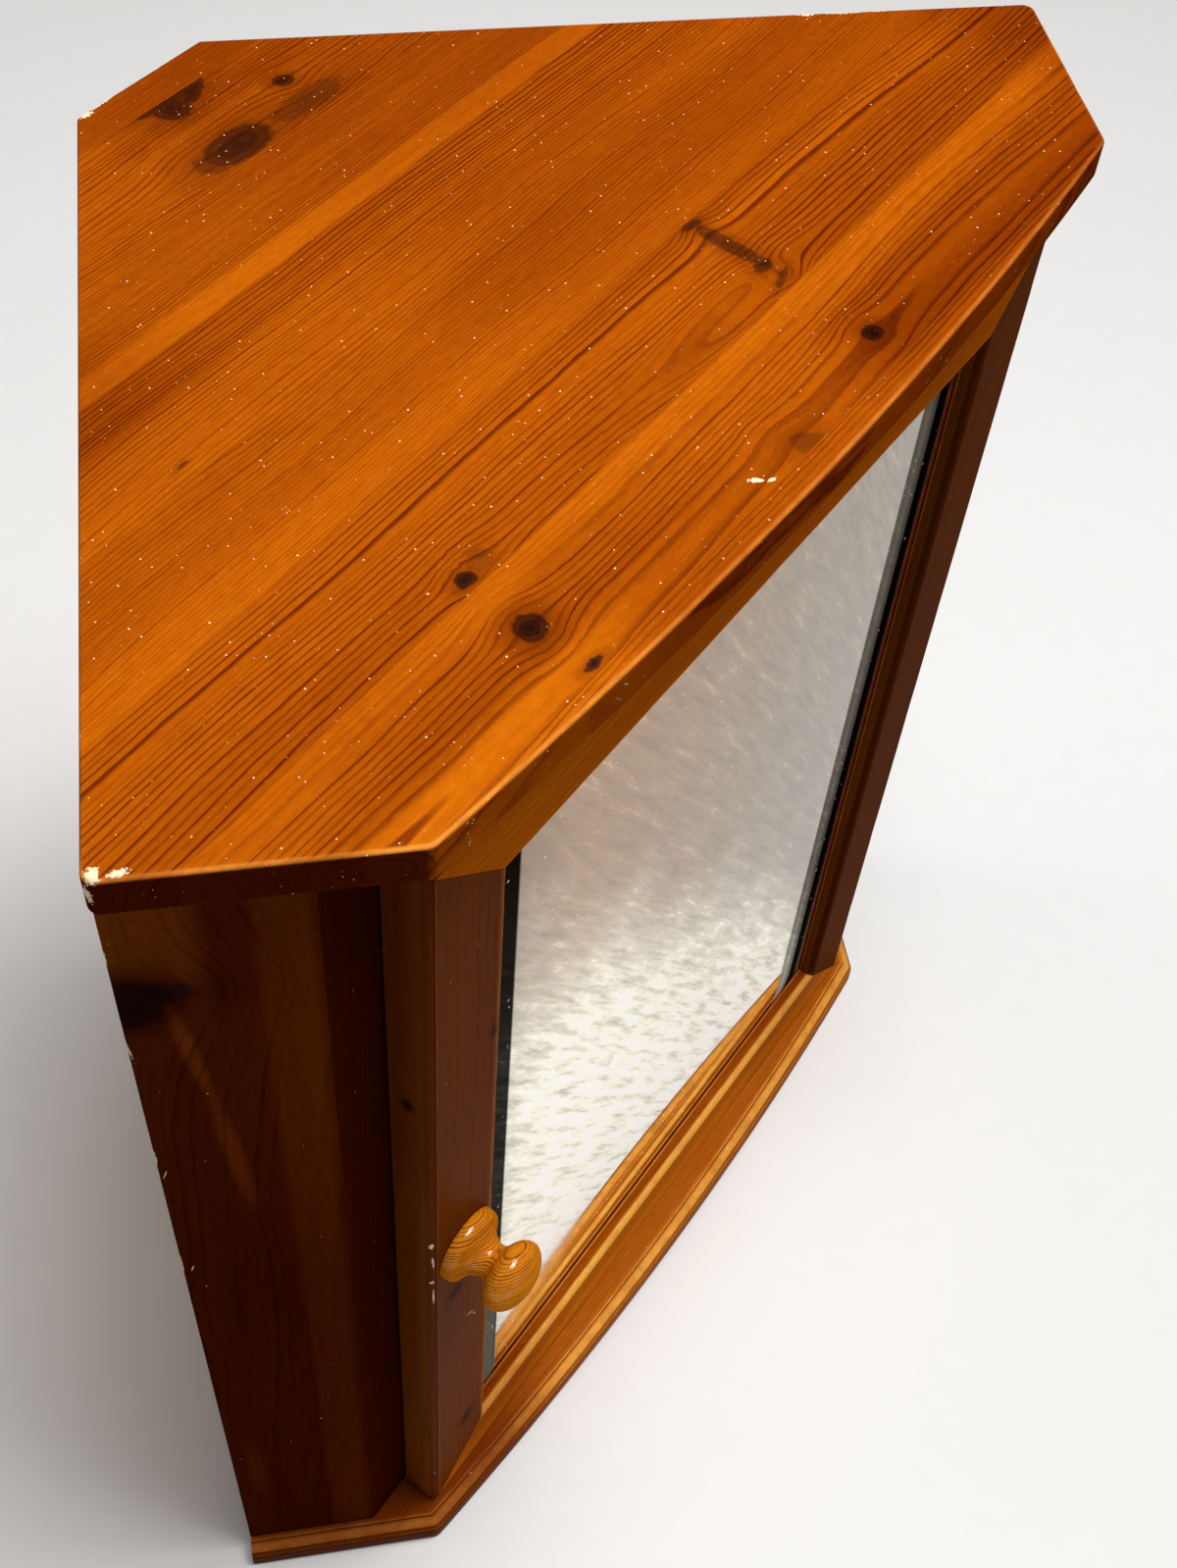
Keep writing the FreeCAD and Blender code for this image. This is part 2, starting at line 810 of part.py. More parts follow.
def make_catch_housing():
    reach = catch_length / 2
    body = block(spot(catch_x, catch_front, catch_height_above_base - reach),
                 spot(catch_x + catch_width, catch_front + catch_depth, catch_height_above_base + reach))
    return body.fuse(catch_stub()).cut(group(list(catch_pole_boxes())))


def strike_middle():
    return spot(catch_x + catch_width / 2, door_back, catch_height_above_base)


def strike_prongs():
    """The two prongs that hold the strike plate in the stile."""
    prongs = []
    for side in (-1, 1):
        middle = strike_middle() + up * (side * prong_spacing / 2)
        low = middle - FreeCAD.Vector(prong_thickness / 2, prong_length, prong_width / 2)
        high = middle + FreeCAD.Vector(prong_thickness / 2, 0, prong_width / 2)
        prongs.append(block(low, high))
    return prongs


def make_strike_plate():
    middle = strike_middle()
    low = middle - FreeCAD.Vector(strike_width / 2, 0, strike_length / 2)
    high = middle + FreeCAD.Vector(strike_width / 2, strike_thickness, strike_length / 2)
    return block(low, high).fuse(strike_prongs()).removeSplitter()


# All nodes

def build():
    pieces = {}
    pieces["top_board"] = make_top_board()
    pieces["bottom_board"] = make_bottom_board()
    pieces["right_return_panel"] = make_return_panel()
    pieces["left_return_panel"] = flipped(make_return_panel())
    post = make_post()
    pieces["left_front_post"] = flipped(post).cut(catch_stub())
    frame_screw_set = [screw for level in hinge_levels for screw in frame_screws(level)]
    pieces["right_front_post"] = post.cut(group(frame_screw_set))
    pieces["right_back_panel"] = make_back_panel()
    pieces["left_back_panel"] = flipped(make_back_panel())
    pieces["corner_back_strip"] = make_corner_strip()
    pieces["head_rail"] = make_head_rail()
    pieces["lower_shelf"] = make_shelf(lower_shelf_height)
    pieces["upper_shelf"] = make_shelf(upper_shelf_height)
    battens = right_battens()
    pieces["shelf_battens"] = group(battens + [flipped(batten) for batten in battens])
    pieces["right_hanging_rail"] = make_hanging_rail()
    pieces["left_hanging_rail"] = flipped(make_hanging_rail())
    pieces["top_tenons"] = group(top_tenons())
    pieces["bottom_tenons"] = group(bottom_tenons())
    pieces["catch_housing"] = make_catch_housing()
    left_pole, right_pole, magnet = catch_pole_boxes()
    pieces["catch_pole_plates"] = group([left_pole, right_pole])
    pieces["catch_magnet"] = magnet

    door_screw_set = [screw for level in hinge_levels for screw in door_screws(level)]
    pieces["door_left_stile"] = make_left_stile()
    pieces["door_right_stile"] = make_right_stile().cut(group(door_screw_set))
    pieces["door_bottom_rail"] = make_rail(door_bottom, 1)
    pieces["door_top_rail"] = make_rail(door_top, -1)
    pieces["mitre_tenons"] = group(make_mitre_tenons())
    pieces["door_mirror"] = make_mirror()
    pieces["mirror_backing_board"] = make_backing_board()
    pieces["backing_beads"] = make_beads()
    pieces["door_knob"] = make_knob()
    pieces["strike_plate"] = make_strike_plate()
    for name, level in zip(("lower", "upper"), hinge_levels):
        pieces[name + "_hinge_frame_leaf"] = make_frame_leaf(level)
        pieces[name + "_hinge_door_leaf"] = make_door_leaf(level)
        pieces[name + "_hinge_pin"] = hinge_pin(level)
    pieces["hinge_frame_screws"] = group(frame_screw_set)
    pieces["hinge_door_screws"] = group(door_screw_set)
    return pieces


def main():
    os.makedirs("parts", exist_ok=True)
    for name, shape in build().items():
        placed = shape.copy()
        placed.translate(spot(0, -plan_centre))
        placed.exportStep(os.path.join("parts", name + ".step"))


main()
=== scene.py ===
"""Corner medicine cabinet in stained, varnished pine with a mirrored door, dressed over its packed frame."""
import math

import bmesh
import bpy
import numpy as np
from mathutils import Matrix, Vector, noise


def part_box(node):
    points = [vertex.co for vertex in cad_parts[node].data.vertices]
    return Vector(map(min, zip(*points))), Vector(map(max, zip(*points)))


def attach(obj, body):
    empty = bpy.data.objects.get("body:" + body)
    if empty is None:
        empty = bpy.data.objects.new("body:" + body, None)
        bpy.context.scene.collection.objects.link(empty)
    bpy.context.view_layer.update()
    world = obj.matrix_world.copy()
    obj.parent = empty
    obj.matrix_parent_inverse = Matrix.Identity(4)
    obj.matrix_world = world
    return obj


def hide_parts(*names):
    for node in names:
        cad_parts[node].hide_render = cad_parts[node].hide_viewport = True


bl_info = {
    "name": "Corner medicine cabinet",
    "version": (1, 0, 0),
    "blender": (4, 5, 0),
    "location": "3D View > Sidebar > Cabinet",
    "description": "Dresses the packed corner medicine cabinet: boards, door, knob, hinges, glass and stage",
    "category": "Object",
}

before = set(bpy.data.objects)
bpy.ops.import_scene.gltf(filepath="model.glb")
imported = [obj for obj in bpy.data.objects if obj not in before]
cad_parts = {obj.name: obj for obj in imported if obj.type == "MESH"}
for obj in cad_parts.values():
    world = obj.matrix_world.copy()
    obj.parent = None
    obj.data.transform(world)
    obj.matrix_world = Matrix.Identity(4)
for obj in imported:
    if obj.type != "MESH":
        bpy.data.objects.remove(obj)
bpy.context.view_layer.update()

MM = 0.001
FULL_TURN = 2 * math.pi

# Plan of the two boards, in millimetres from the middle of the cabinet
FRONT_CORNER = (200, -143.709)
SIDE_CORNER = (264.135, -79.574)
BACK_CORNER = (31.85, 152.709)
BOW_RADIUS = 2226.72
BOW_CENTRE = (0, 2074.013)

# Heights, in millimetres
BOARD_THICKNESS = 16
CABINET_HEIGHT = 606

# Door frame, in millimetres
DOOR_FACE = -135.609
DOOR_HALF_WIDTH = 192.2
DOOR_BOTTOM = 18.3
DOOR_TOP = 572.4
DOOR_THICKNESS = 18.2
MEMBER_WIDTH = 39
KNOB_AXIS = (-172.7, 294.8)

# Posts, in millimetres
POST_FACE = -115.609
POST_BACK = -99.609


# Small helpers for node trees

class Flow:
    """A node's output that can be reckoned with: each sign adds one Math node to its tree."""

    def __init__(self, socket):
        self.socket = socket

    def __add__(self, other):
        return calc("ADD", self, other)

    def __sub__(self, other):
        return calc("SUBTRACT", self, other)

    def __rsub__(self, other):
        return calc("SUBTRACT", other, self)

    def __mul__(self, other):
        return calc("MULTIPLY", self, other)

    def __truediv__(self, other):
        return calc("DIVIDE", self, other)

    def __rtruediv__(self, other):
        return calc("DIVIDE", other, self)

    def scaled(self, factor, start, clamp=False):
        """This times a factor, plus a start, in one node."""
        return calc("MULTIPLY_ADD", self, factor, start, clamp=clamp)


class Step:
    """A node that gives its outputs when read by name or number, and takes its inputs when written to."""

    def __init__(self, node):
        self.node = node

    def __getitem__(self, key):
        return Flow(self.node.outputs[key])

    def __setitem__(self, key, value):
        socket = self.node.inputs[key]
        if isinstance(value, Flow):
            socket.id_data.links.new(value.socket, socket)
        else:
            socket.default_value = value


def put(kind, inputs=None, tree=None, **settings):
    """Adds a node to a tree, or to the one its first linked input is in, and links or sets its inputs."""
    inputs = inputs or {}
    tree = tree or next(value.socket.id_data for value in inputs.values() if isinstance(value, Flow))
    step = Step(tree.nodes.new(kind if "Node" in kind else "ShaderNode" + kind))
    for name, value in settings.items():
        setattr(step.node, name, value)
    for name, value in inputs.items():
        step[name] = value
    return step


def calc(operation, *values, clamp=False):
    """A Math node on flows and numbers."""
    return put("Math", dict(enumerate(values)), operation=operation, use_clamp=clamp)[0]


def vector_calc(operation, *values, output="Vector"):
    """A Vector Math node on flows and triples."""
    return put("VectorMath", dict(enumerate(values)), operation=operation)[output]


def smooth(value, low, high, to_low=0, to_high=1):
    """A value carried smoothly from one range to another."""
    return put("MapRange", {"Value": value, "From Min": low, "From Max": high, "To Min": to_low, "To Max": to_high},
               interpolation_type="SMOOTHSTEP")["Result"]


def mix_colour(factor, first, second, blend="MIX"):
    """Two colours, each a flow or three numbers, mixed by a factor."""
    first, second = (value if isinstance(value, Flow) else (*value, 1) for value in (first, second))
    return put("Mix", {0: factor, 6: first, 7: second}, data_type="RGBA", blend_type=blend, clamp_factor=True)[2]


def speckle(vector, scale, detail=2, roughness=0.5):
    """The value of a noise texture at a scale, or at three scales along the axes."""
    if isinstance(scale, tuple):
        vector, scale = vector_calc("MULTIPLY", vector, scale), 1
    return put("TexNoise", {"Vector": vector, "Scale": scale, "Detail": detail, "Roughness": roughness})[0]


def combined(x=0, y=0, z=0):
    """A vector from three parts."""
    return put("CombineXYZ", {"X": x, "Y": y, "Z": z})[0]


def spun(vector, angle):
    """A vector turned about Z."""
    return put("VectorRotate", {"Vector": vector, "Angle": angle}, rotation_type="Z_AXIS")[0]


def oval_distance(place, centre, per_size, turn):
    """The gap from an oval's centre to a place, and its length in the turned oval's own sizes."""
    gap = vector_calc("SUBTRACT", place, centre)
    return gap, vector_calc("LENGTH", vector_calc("MULTIPLY", spun(gap, turn), per_size), output="Value")


def ramp_parts(value, stops, interpolation="LINEAR"):
    """Three values at once, from a colour ramp through the given (place, (first, second, third)) stops."""
    found = put("ValToRGB", {"Fac": value})
    ramp = found.node.color_ramp
    ramp.interpolation = interpolation
    while len(ramp.elements) < len(stops):
        ramp.elements.new(1)
    for element, (place, colour) in zip(ramp.elements, stops):
        element.position = place
        element.color = (*colour, 1)
    return put("SeparateColor", {0: found["Color"]})


def bumped(shader, height, strength, distance):
    """Raises a shader's surface by a height."""
    shader["Normal"] = put("Bump", {"Height": height, "Strength": strength, "Distance": distance})[0]


def new_group(name, inputs, *outputs):
    """A shader node group and its two end nodes: an input without a value, and an output Vector, is a vector."""
    tree = bpy.data.node_groups.new(name, "ShaderNodeTree")
    for label, default in inputs.items():
        kind = "NodeSocketVector" if default is None else "NodeSocketFloat"
        socket = tree.interface.new_socket(label, in_out="INPUT", socket_type=kind)
        if default is not None:
            socket.default_value = default
    for label in outputs:
        kind = "NodeSocketVector" if label == "Vector" else "NodeSocketFloat"
        tree.interface.new_socket(label, in_out="OUTPUT", socket_type=kind)
    return tree, Step(tree.nodes.new("NodeGroupInput")), Step(tree.nodes.new("NodeGroupOutput"))


# Shared effects of the wood, each a node group

def staves_group():
    """Numbers the glued staves of a board across its width."""
    tree, given, wanted = new_group("glued staves", {"Vector": None, "Width": 0.0465, "First Joint": -0.1435},
                                    "Stave", "Middle", "Chance", "Joint")
    across = put("SeparateXYZ", {0: given["Vector"]})["Y"]
    place = (across - given["First Joint"]) / given["Width"]
    stave = calc("FLOOR", place)
    within = calc("FRACT", place)
    edge = calc("MINIMUM", within, 1 - within)
    chance = put("TexWhiteNoise", {"W": stave}, noise_dimensions="1D")["Value"]
    middle = (stave + 0.5).scaled(given["Width"], given["First Joint"])
    wanted["Stave"] = stave
    wanted["Middle"] = middle
    wanted["Chance"] = chance
    wanted["Joint"] = smooth(edge, 0, 0.008, 1, 0)
    return tree


def knot_group():
    """A knot: pushes the grain aside, and gives its core, its rings and its dark halo."""
    tree, given, wanted = new_group("pine knot", {
        "Vector": None, "Place": None, "Centre": None, "Per Size": None, "Turn": 0, "Stave": 0, "Own Stave": 0,
        "Depth": 1, "Push": 0.85, "Ragged": 1, "Core": 0, "Halo": 0}, "Vector", "Core", "Halo")
    gap, distance = oval_distance(given["Place"], given["Centre"], given["Per Size"], given["Turn"])
    flat = vector_calc("MULTIPLY", given["Place"], (1.6, 0.8, 1))
    distance = distance + (speckle(flat, 240, 4, 0.65) - 0.5) * given["Ragged"]
    same = calc("COMPARE", given["Stave"], given["Own Stave"], 0.5)
    mine = same * given["Depth"]
    base_of_fall = 2.7183
    reach = calc("POWER", base_of_fall, distance * distance * -0.22)
    push = reach * given["Push"] * same
    moved = vector_calc("MULTIPLY", gap, (0.12, 1, 0))
    moved = put("VectorMath", {0: moved, "Scale": push}, operation="SCALE")[0]
    rings = calc("SINE", distance * 17)
    rings = rings.scaled(0.05, smooth(distance, 0.2, 0.8, 0.95, 0.8))
    core = smooth(distance, 0.8, 1.12, 1, 0) * rings * mine
    halo = smooth(distance, 0.9, 2.6, 1, 0) * mine
    wanted["Vector"] = vector_calc("SUBTRACT", given["Vector"], moved)
    wanted["Core"] = calc("MAXIMUM", core, given["Core"])
    wanted["Halo"] = calc("MAXIMUM", halo, given["Halo"])
    return tree


def grain_group():
    """Growth rings that run along X: dark late wood, fine fibres and slow changes of tone."""
    tree, given, wanted = new_group("pine grain", {
        "Vector": None, "Middle": 0, "Pith": 0.05, "Under": 0.02, "Ring Width": 0.0024, "Taper": 0.03,
        "Waviness": 0.004, "Shift": 0}, "Late Wood", "Fibre", "Tone", "Fleck")
    shift = given["Shift"]
    moved = vector_calc("ADD", given["Vector"], combined(shift, shift * 0.37, shift))
    slow = speckle(moved, (5, 13, 13), 1)
    small = speckle(moved, (30, 150, 150))
    sway = (slow - 0.5) * (given["Waviness"] * 4)
    little = given["Waviness"] * 0.4
    sway = (small - 0.5).scaled(little, sway)
    axes = put("SeparateXYZ", {0: given["Vector"]})
    across = axes["Y"] + sway - given["Middle"] - given["Pith"]
    under = given["Under"] + axes["Z"]
    far = calc("SQRT", across.scaled(across, under * under))
    count = axes["X"].scaled(given["Taper"], far) / given["Ring Width"]
    count = speckle(combined(count, shift), 0.23, 1).scaled(3, count)
    within = calc("FRACT", count)
    ring = combined(calc("FLOOR", count), shift)
    weight = put("TexWhiteNoise", {"Vector": ring}, noise_dimensions="3D")["Value"]
    late = smooth(within, 0.48, 0.91) * smooth(within, 0.92, 1, 1, 0) * weight.scaled(0.7, 0.3)
    fibre = speckle(moved, (60, 1150, 1150), 3, 0.65)
    tone = speckle(moved, (4, 42, 42))
    mottle = speckle(moved, (190, 430, 430), 3, 0.65)
    tone = (mottle - 0.5).scaled(0.75, tone)
    fleck = speckle(moved, (190, 2600, 2600), 1)
    wanted["Late Wood"] = late
    wanted["Fibre"] = fibre
    wanted["Tone"] = tone
    wanted["Fleck"] = smooth(fleck, 0.66, 0.74)
    return tree


def wear_group():
    """Where the arrises are rubbed bright, with a painted highlight, where the finish is chipped off, and where
    painted shade darkens creases, recesses and undersides.
    """
    tree, given, wanted = new_group("arris wear", {"Vector": None, "Rub": 1, "Chip Share": 0.3},
                                    "Rubbed", "Chipped", "Gathered")
    worn = put("Attribute", tree=tree, attribute_name="wear")["Fac"]
    edge = calc("MAXIMUM", worn, 0)
    patches = speckle(given["Vector"], 60, 3, 0.6)
    crumbs = speckle(given["Vector"], 210, 4, 0.7)
    # The rubbed arrises are real wear with a painted highlight of the lamps on the varnish.
    rubbed = calc("MULTIPLY", smooth(patches, 0.35, 0.62, 0.6, 1) * edge, given["Rub"], clamp=True)
    level = 1 - given["Chip Share"] * 0.3
    chipped = smooth(patches.scaled(0.45, crumbs) * edge, level, level + 0.03)
    wanted["Rubbed"] = rubbed
    wanted["Chipped"] = chipped
    # Painted shade: weights below zero darken creases, recesses and the undersides of edges.
    wanted["Gathered"] = calc("MULTIPLY", worn, -1, clamp=True)
    return tree


def dust_group():
    """Sparse pale specks of dust and tiny nicks."""
    tree, given, wanted = new_group("dust specks", {"Vector": None, "Spacing": 0.004, "Share": 0.2}, "Speck")
    cells = put("TexVoronoi", {"Vector": given["Vector"], "Scale": 1 / given["Spacing"], "Randomness": 1})
    chances = put("SeparateColor", {0: cells["Color"]})
    chosen = calc("LESS_THAN", chances[0], given["Share"])
    size = calc("POWER", chances[1], 6).scaled(0.12, 0.037)
    wanted["Speck"] = calc("LESS_THAN", cells["Distance"], size) * chosen
    return tree


def chip_group():
    """A ragged chip that bares the wood at one place."""
    tree, given, wanted = new_group("bare chip", {
        "Place": None, "Centre": None, "Per Size": None, "Turn": 0, "Bare": 0}, "Bare")
    distance = oval_distance(given["Place"], given["Centre"], given["Per Size"], given["Turn"])[1]
    distance = (speckle(given["Place"], 760, 4, 0.75) - 0.5).scaled(2.9, distance)
    wanted["Bare"] = calc("MAXIMUM", smooth(distance, 0.72, 0.84, 1, 0), given["Bare"])
    return tree


SHARED = {}
GROUP_MAKERS = {
    "staves": staves_group, "knot": knot_group, "grain": grain_group, "wear": wear_group, "dust": dust_group,
    "chip": chip_group,
}


def shared(name, **values):
    """Puts a shared group in a tree and fills its inputs by name, spaces as underscores; makes it if it is new."""
    if name not in SHARED:
        SHARED[name] = GROUP_MAKERS[name]()
    return put("Group", {label.replace("_", " "): value for label, value in values.items()}, node_tree=SHARED[name])


# Finishes

def new_material(name):
    """A material, its shader, and each place on the piece in the piece's own coordinates."""
    material = bpy.data.materials.new(name)
    material.use_nodes = True
    tree = material.node_tree
    return material, Step(tree.nodes["Principled BSDF"]), put("TexCoord", tree=tree)["Object"]


def grain_place(place, centre, order, turn):
    """A place from a centre, so that the grain runs along X: turned about Z, then reordered."""
    place = vector_calc("SUBTRACT", place, tuple(c * MM for c in centre))
    if turn:
        place = spun(place, turn)
    if order != "XYZ":
        axes = put("SeparateXYZ", {0: place})
        place = combined(*(axes[axis] for axis in order))
    return place


def oval(place, x, y, long, wide, angle):
    """A soft mask on an oval, endless along Z."""
    distance = oval_distance(place, (x * MM, y * MM, 0), (1 / (long * MM), 1 / (wide * MM), 0), angle)[1]
    return smooth(distance, 0.25, 1, 1, 0)


def pine_material(name, centre=(0, 0, 0), order="XYZ", turn=0, staves=None, sawing=(), bands=(), patches=(),
                  knots=(), spots=(), streaks=(), pith=0.05, under=0.02, seed=0, ring_width=0.0024, taper=0.03,
                  waviness=0.004, lines=1, stain="light_pine late_wood", rub=1, chips=0, dust=0.15, gloss=0.28,
                  coat=0, shine=0.12, end_grain=0, worn="rubbed_pine"):
    """Varnished pine with its own knots, bands of tone, rubbed arrises with a painted highlight, painted shade where
    the wear weight is below zero, chips and specks of dust.

    The lists hold what the tables of the top board hold. A knot that isn't endless along Z ends with its height
    and its half height, and a streak is x, y, half length, half width, turn, tone."""
    colours = bpy.context.scene.cabinet_finish
    if isinstance(stain, str):
        stain = [getattr(colours, part) for part in stain.split()]
    light, dark = stain
    material, shader, place = new_material(name)
    tree = material.node_tree
    place = grain_place(place, centre, order, turn)
    stave, middle, shift, rings = 0, 0, seed, ring_width
    if staves:
        found = shared("staves", Vector=place, Width=staves[0], First_Joint=staves[1])
        stave, middle, joint = found["Stave"], found["Middle"], found["Joint"]
        shift = found["Chance"].scaled(7.3, seed)
        if sawing:
            count = len(sawing)
            stops = [(i / count, ((a + 100) / 200, b / 100, c / 4)) for i, (a, b, c) in enumerate(sawing)]
            parts = ramp_parts((stave + 1.5) / count, stops, "CONSTANT")
            pith = parts[0].scaled(0.2, -0.1)
            under = parts[1] * 0.1
            rings = parts[2] * 0.004
        else:
            pith = calc("SIGN", found["Chance"] - 0.5) * found["Chance"].scaled(0.03, 0.035)
    pushed, core, halo = place, 0, 0
    for x, y, long, wide, angle, depth, push, *deep in knots:
        own = math.floor((y * MM - staves[1]) / staves[0]) if staves else 0
        found = shared("knot", Vector=pushed, Place=place, Turn=angle, Stave=stave,
                       Centre=(x * MM, y * MM, deep[0] * MM if deep else 0),
                       Per_Size=(1000 / long, 1000 / wide, 1000 / deep[1] if deep else 0),
                       Own_Stave=own, Depth=depth, Push=push, Core=core, Halo=halo,
                       Ragged=min(1.1, 3.4 / min(long, wide)) if depth else 0.12)
        pushed, core, halo = found["Vector"], found["Core"], found["Halo"]
    grain = shared("grain", Vector=pushed, Middle=middle, Pith=pith, Under=under, Ring_Width=rings, Taper=taper,
                   Waviness=waviness, Shift=shift)
    strength = grain["Late Wood"] * lines
    brightness = grain["Tone"].scaled(0.5, 0.75)
    axes = put("SeparateXYZ", {0: place})
    if bands:
        low, high = bands[0][0], bands[-1][0]
        where = put("MapRange", {"Value": axes["Y"], "From Min": low * MM, "From Max": high * MM})["Result"]
        stops = [((y - low) / (high - low), (tone / 2, force / 2, 0)) for y, tone, force in bands]
        parts = ramp_parts(where, stops)
        brightness = brightness * (parts[0] * 2)
        strength = strength * (parts[1] * 2)
    for x0, x1, y0, y1, soft, gain, tone in patches:
        inside = (smooth(axes["X"], (x0 - soft) * MM, x0 * MM) * smooth(axes["X"], x1 * MM, (x1 + soft) * MM, 1, 0)
                  * smooth(axes["Y"], (y0 - soft / 6) * MM, y0 * MM)
                  * smooth(axes["Y"], y1 * MM, (y1 + soft / 6) * MM, 1, 0))
        strength = strength * inside.scaled(gain - 1, 1)
        brightness = brightness * inside.scaled(tone - 1, 1)
    for *place_and_size, tone in streaks:
        brightness = brightness * oval(place, *place_and_size).scaled(tone - 1, 1)
    strength = (grain["Fibre"] - 0.45).scaled(0.9, strength)
    strength = grain["Fleck"].scaled(0.22, strength, clamp=True)
    wood = mix_colour(strength, light, dark)
    shade = put("CombineColor", {0: brightness, 1: calc("POWER", brightness, 1.45),
                                 2: calc("POWER", brightness, 1.5)})[0]
    if staves:
        wood = mix_colour(joint * 0.3, wood, dark)
    if end_grain:
        facing = put("TexCoord", tree=tree)["Normal"]
        along = put("SeparateXYZ", {0: vector_calc("ABSOLUTE", facing)})["X"]
        wood = mix_colour(smooth(along, 0.3, 0.7) * end_grain, wood, colours.end_grain)
    if knots:
        wood = mix_colour(halo * 0.62, wood, [a * b for a, b in zip(light, colours.knot_halo)])
        wood = mix_colour(core, wood, colours.knot_heart)
    wear = shared("wear", Vector=place, Rub=rub, Chip_Share=chips)
    speck = shared("dust", Vector=place, Spacing=0.0023, Share=dust)["Speck"]
    # Rubbed arrises: real wear with a painted highlight.
    wood = mix_colour(wear["Rubbed"] * 0.8, wood, getattr(colours, worn))
    wood = mix_colour(1, wood, shade, "MULTIPLY")
    # Painted shade in creases, recesses and under edges, where the wear weight is below zero.
    wood = mix_colour(wear["Gathered"] * 0.85, wood, [a * b for a, b in zip(dark, (0.42, 0.21, 0.2))])
    bare = calc("MAXIMUM", wear["Chipped"], speck * 0.85)
    for x, y, z, long, wide, tall, angle in spots:
        bare = shared("chip", Place=place, Centre=(x * MM, y * MM, z * MM), Turn=angle,
                      Per_Size=(1000 / long, 1000 / wide, 1000 / tall), Bare=bare)["Bare"]
    shader["Base Color"] = mix_colour(bare, wood, colours.bare_wood)
    shader["Roughness"] = bare.scaled(0.45, grain["Tone"].scaled(0.12, gloss), clamp=True)
    shader["Specular IOR Level"] = shine
    if coat:
        facing = put("LayerWeight", {"Blend": 0.5}, tree)["Facing"]
        shader["Coat Weight"] = smooth(facing, 0.1, 0.5, coat, 0)
    shader["Coat Roughness"] = 0.04
    bumped(shader, bare.scaled(-1.2, grain["Late Wood"].scaled(-0.35, grain["Fibre"])), 0.35, 0.00012)
    return material


def metal_material(name, colour, roughness, marks=90):
    """Worn metal: tarnish in clouds, and fine scratches."""
    material, shader, place = new_material(name)
    clouds = speckle(place, marks, 4, 0.6)
    scratches = speckle(place, (2400, 2400, 160))
    shader["Base Color"] = mix_colour(smooth(clouds, 0.35, 0.7), colour, [c * 0.55 for c in colour])
    shader["Metallic"] = 1
    shader["Roughness"] = scratches.scaled(0.1, clouds.scaled(0.3, roughness - 0.1))
    bumped(shader, scratches, 0.2, 0.00005)
    return material


def plain_material(name, colour, roughness, grain=300, contrast=0.2, depth=0.0001):
    """Moulded or pressed stuff with a fine even texture."""
    material, shader, place = new_material(name)
    fine = speckle(place, grain, 4, 0.65)
    both = speckle(place, grain * 0.06).scaled(0.6, fine * 0.4)
    shader["Base Color"] = mix_colour(both, [c * (1 - contrast) for c in colour],
                                      [min(1, c * (1 + contrast)) for c in colour])
    shader["Roughness"] = fine.scaled(0.15, roughness)
    bumped(shader, fine, 0.3, depth)
    return material


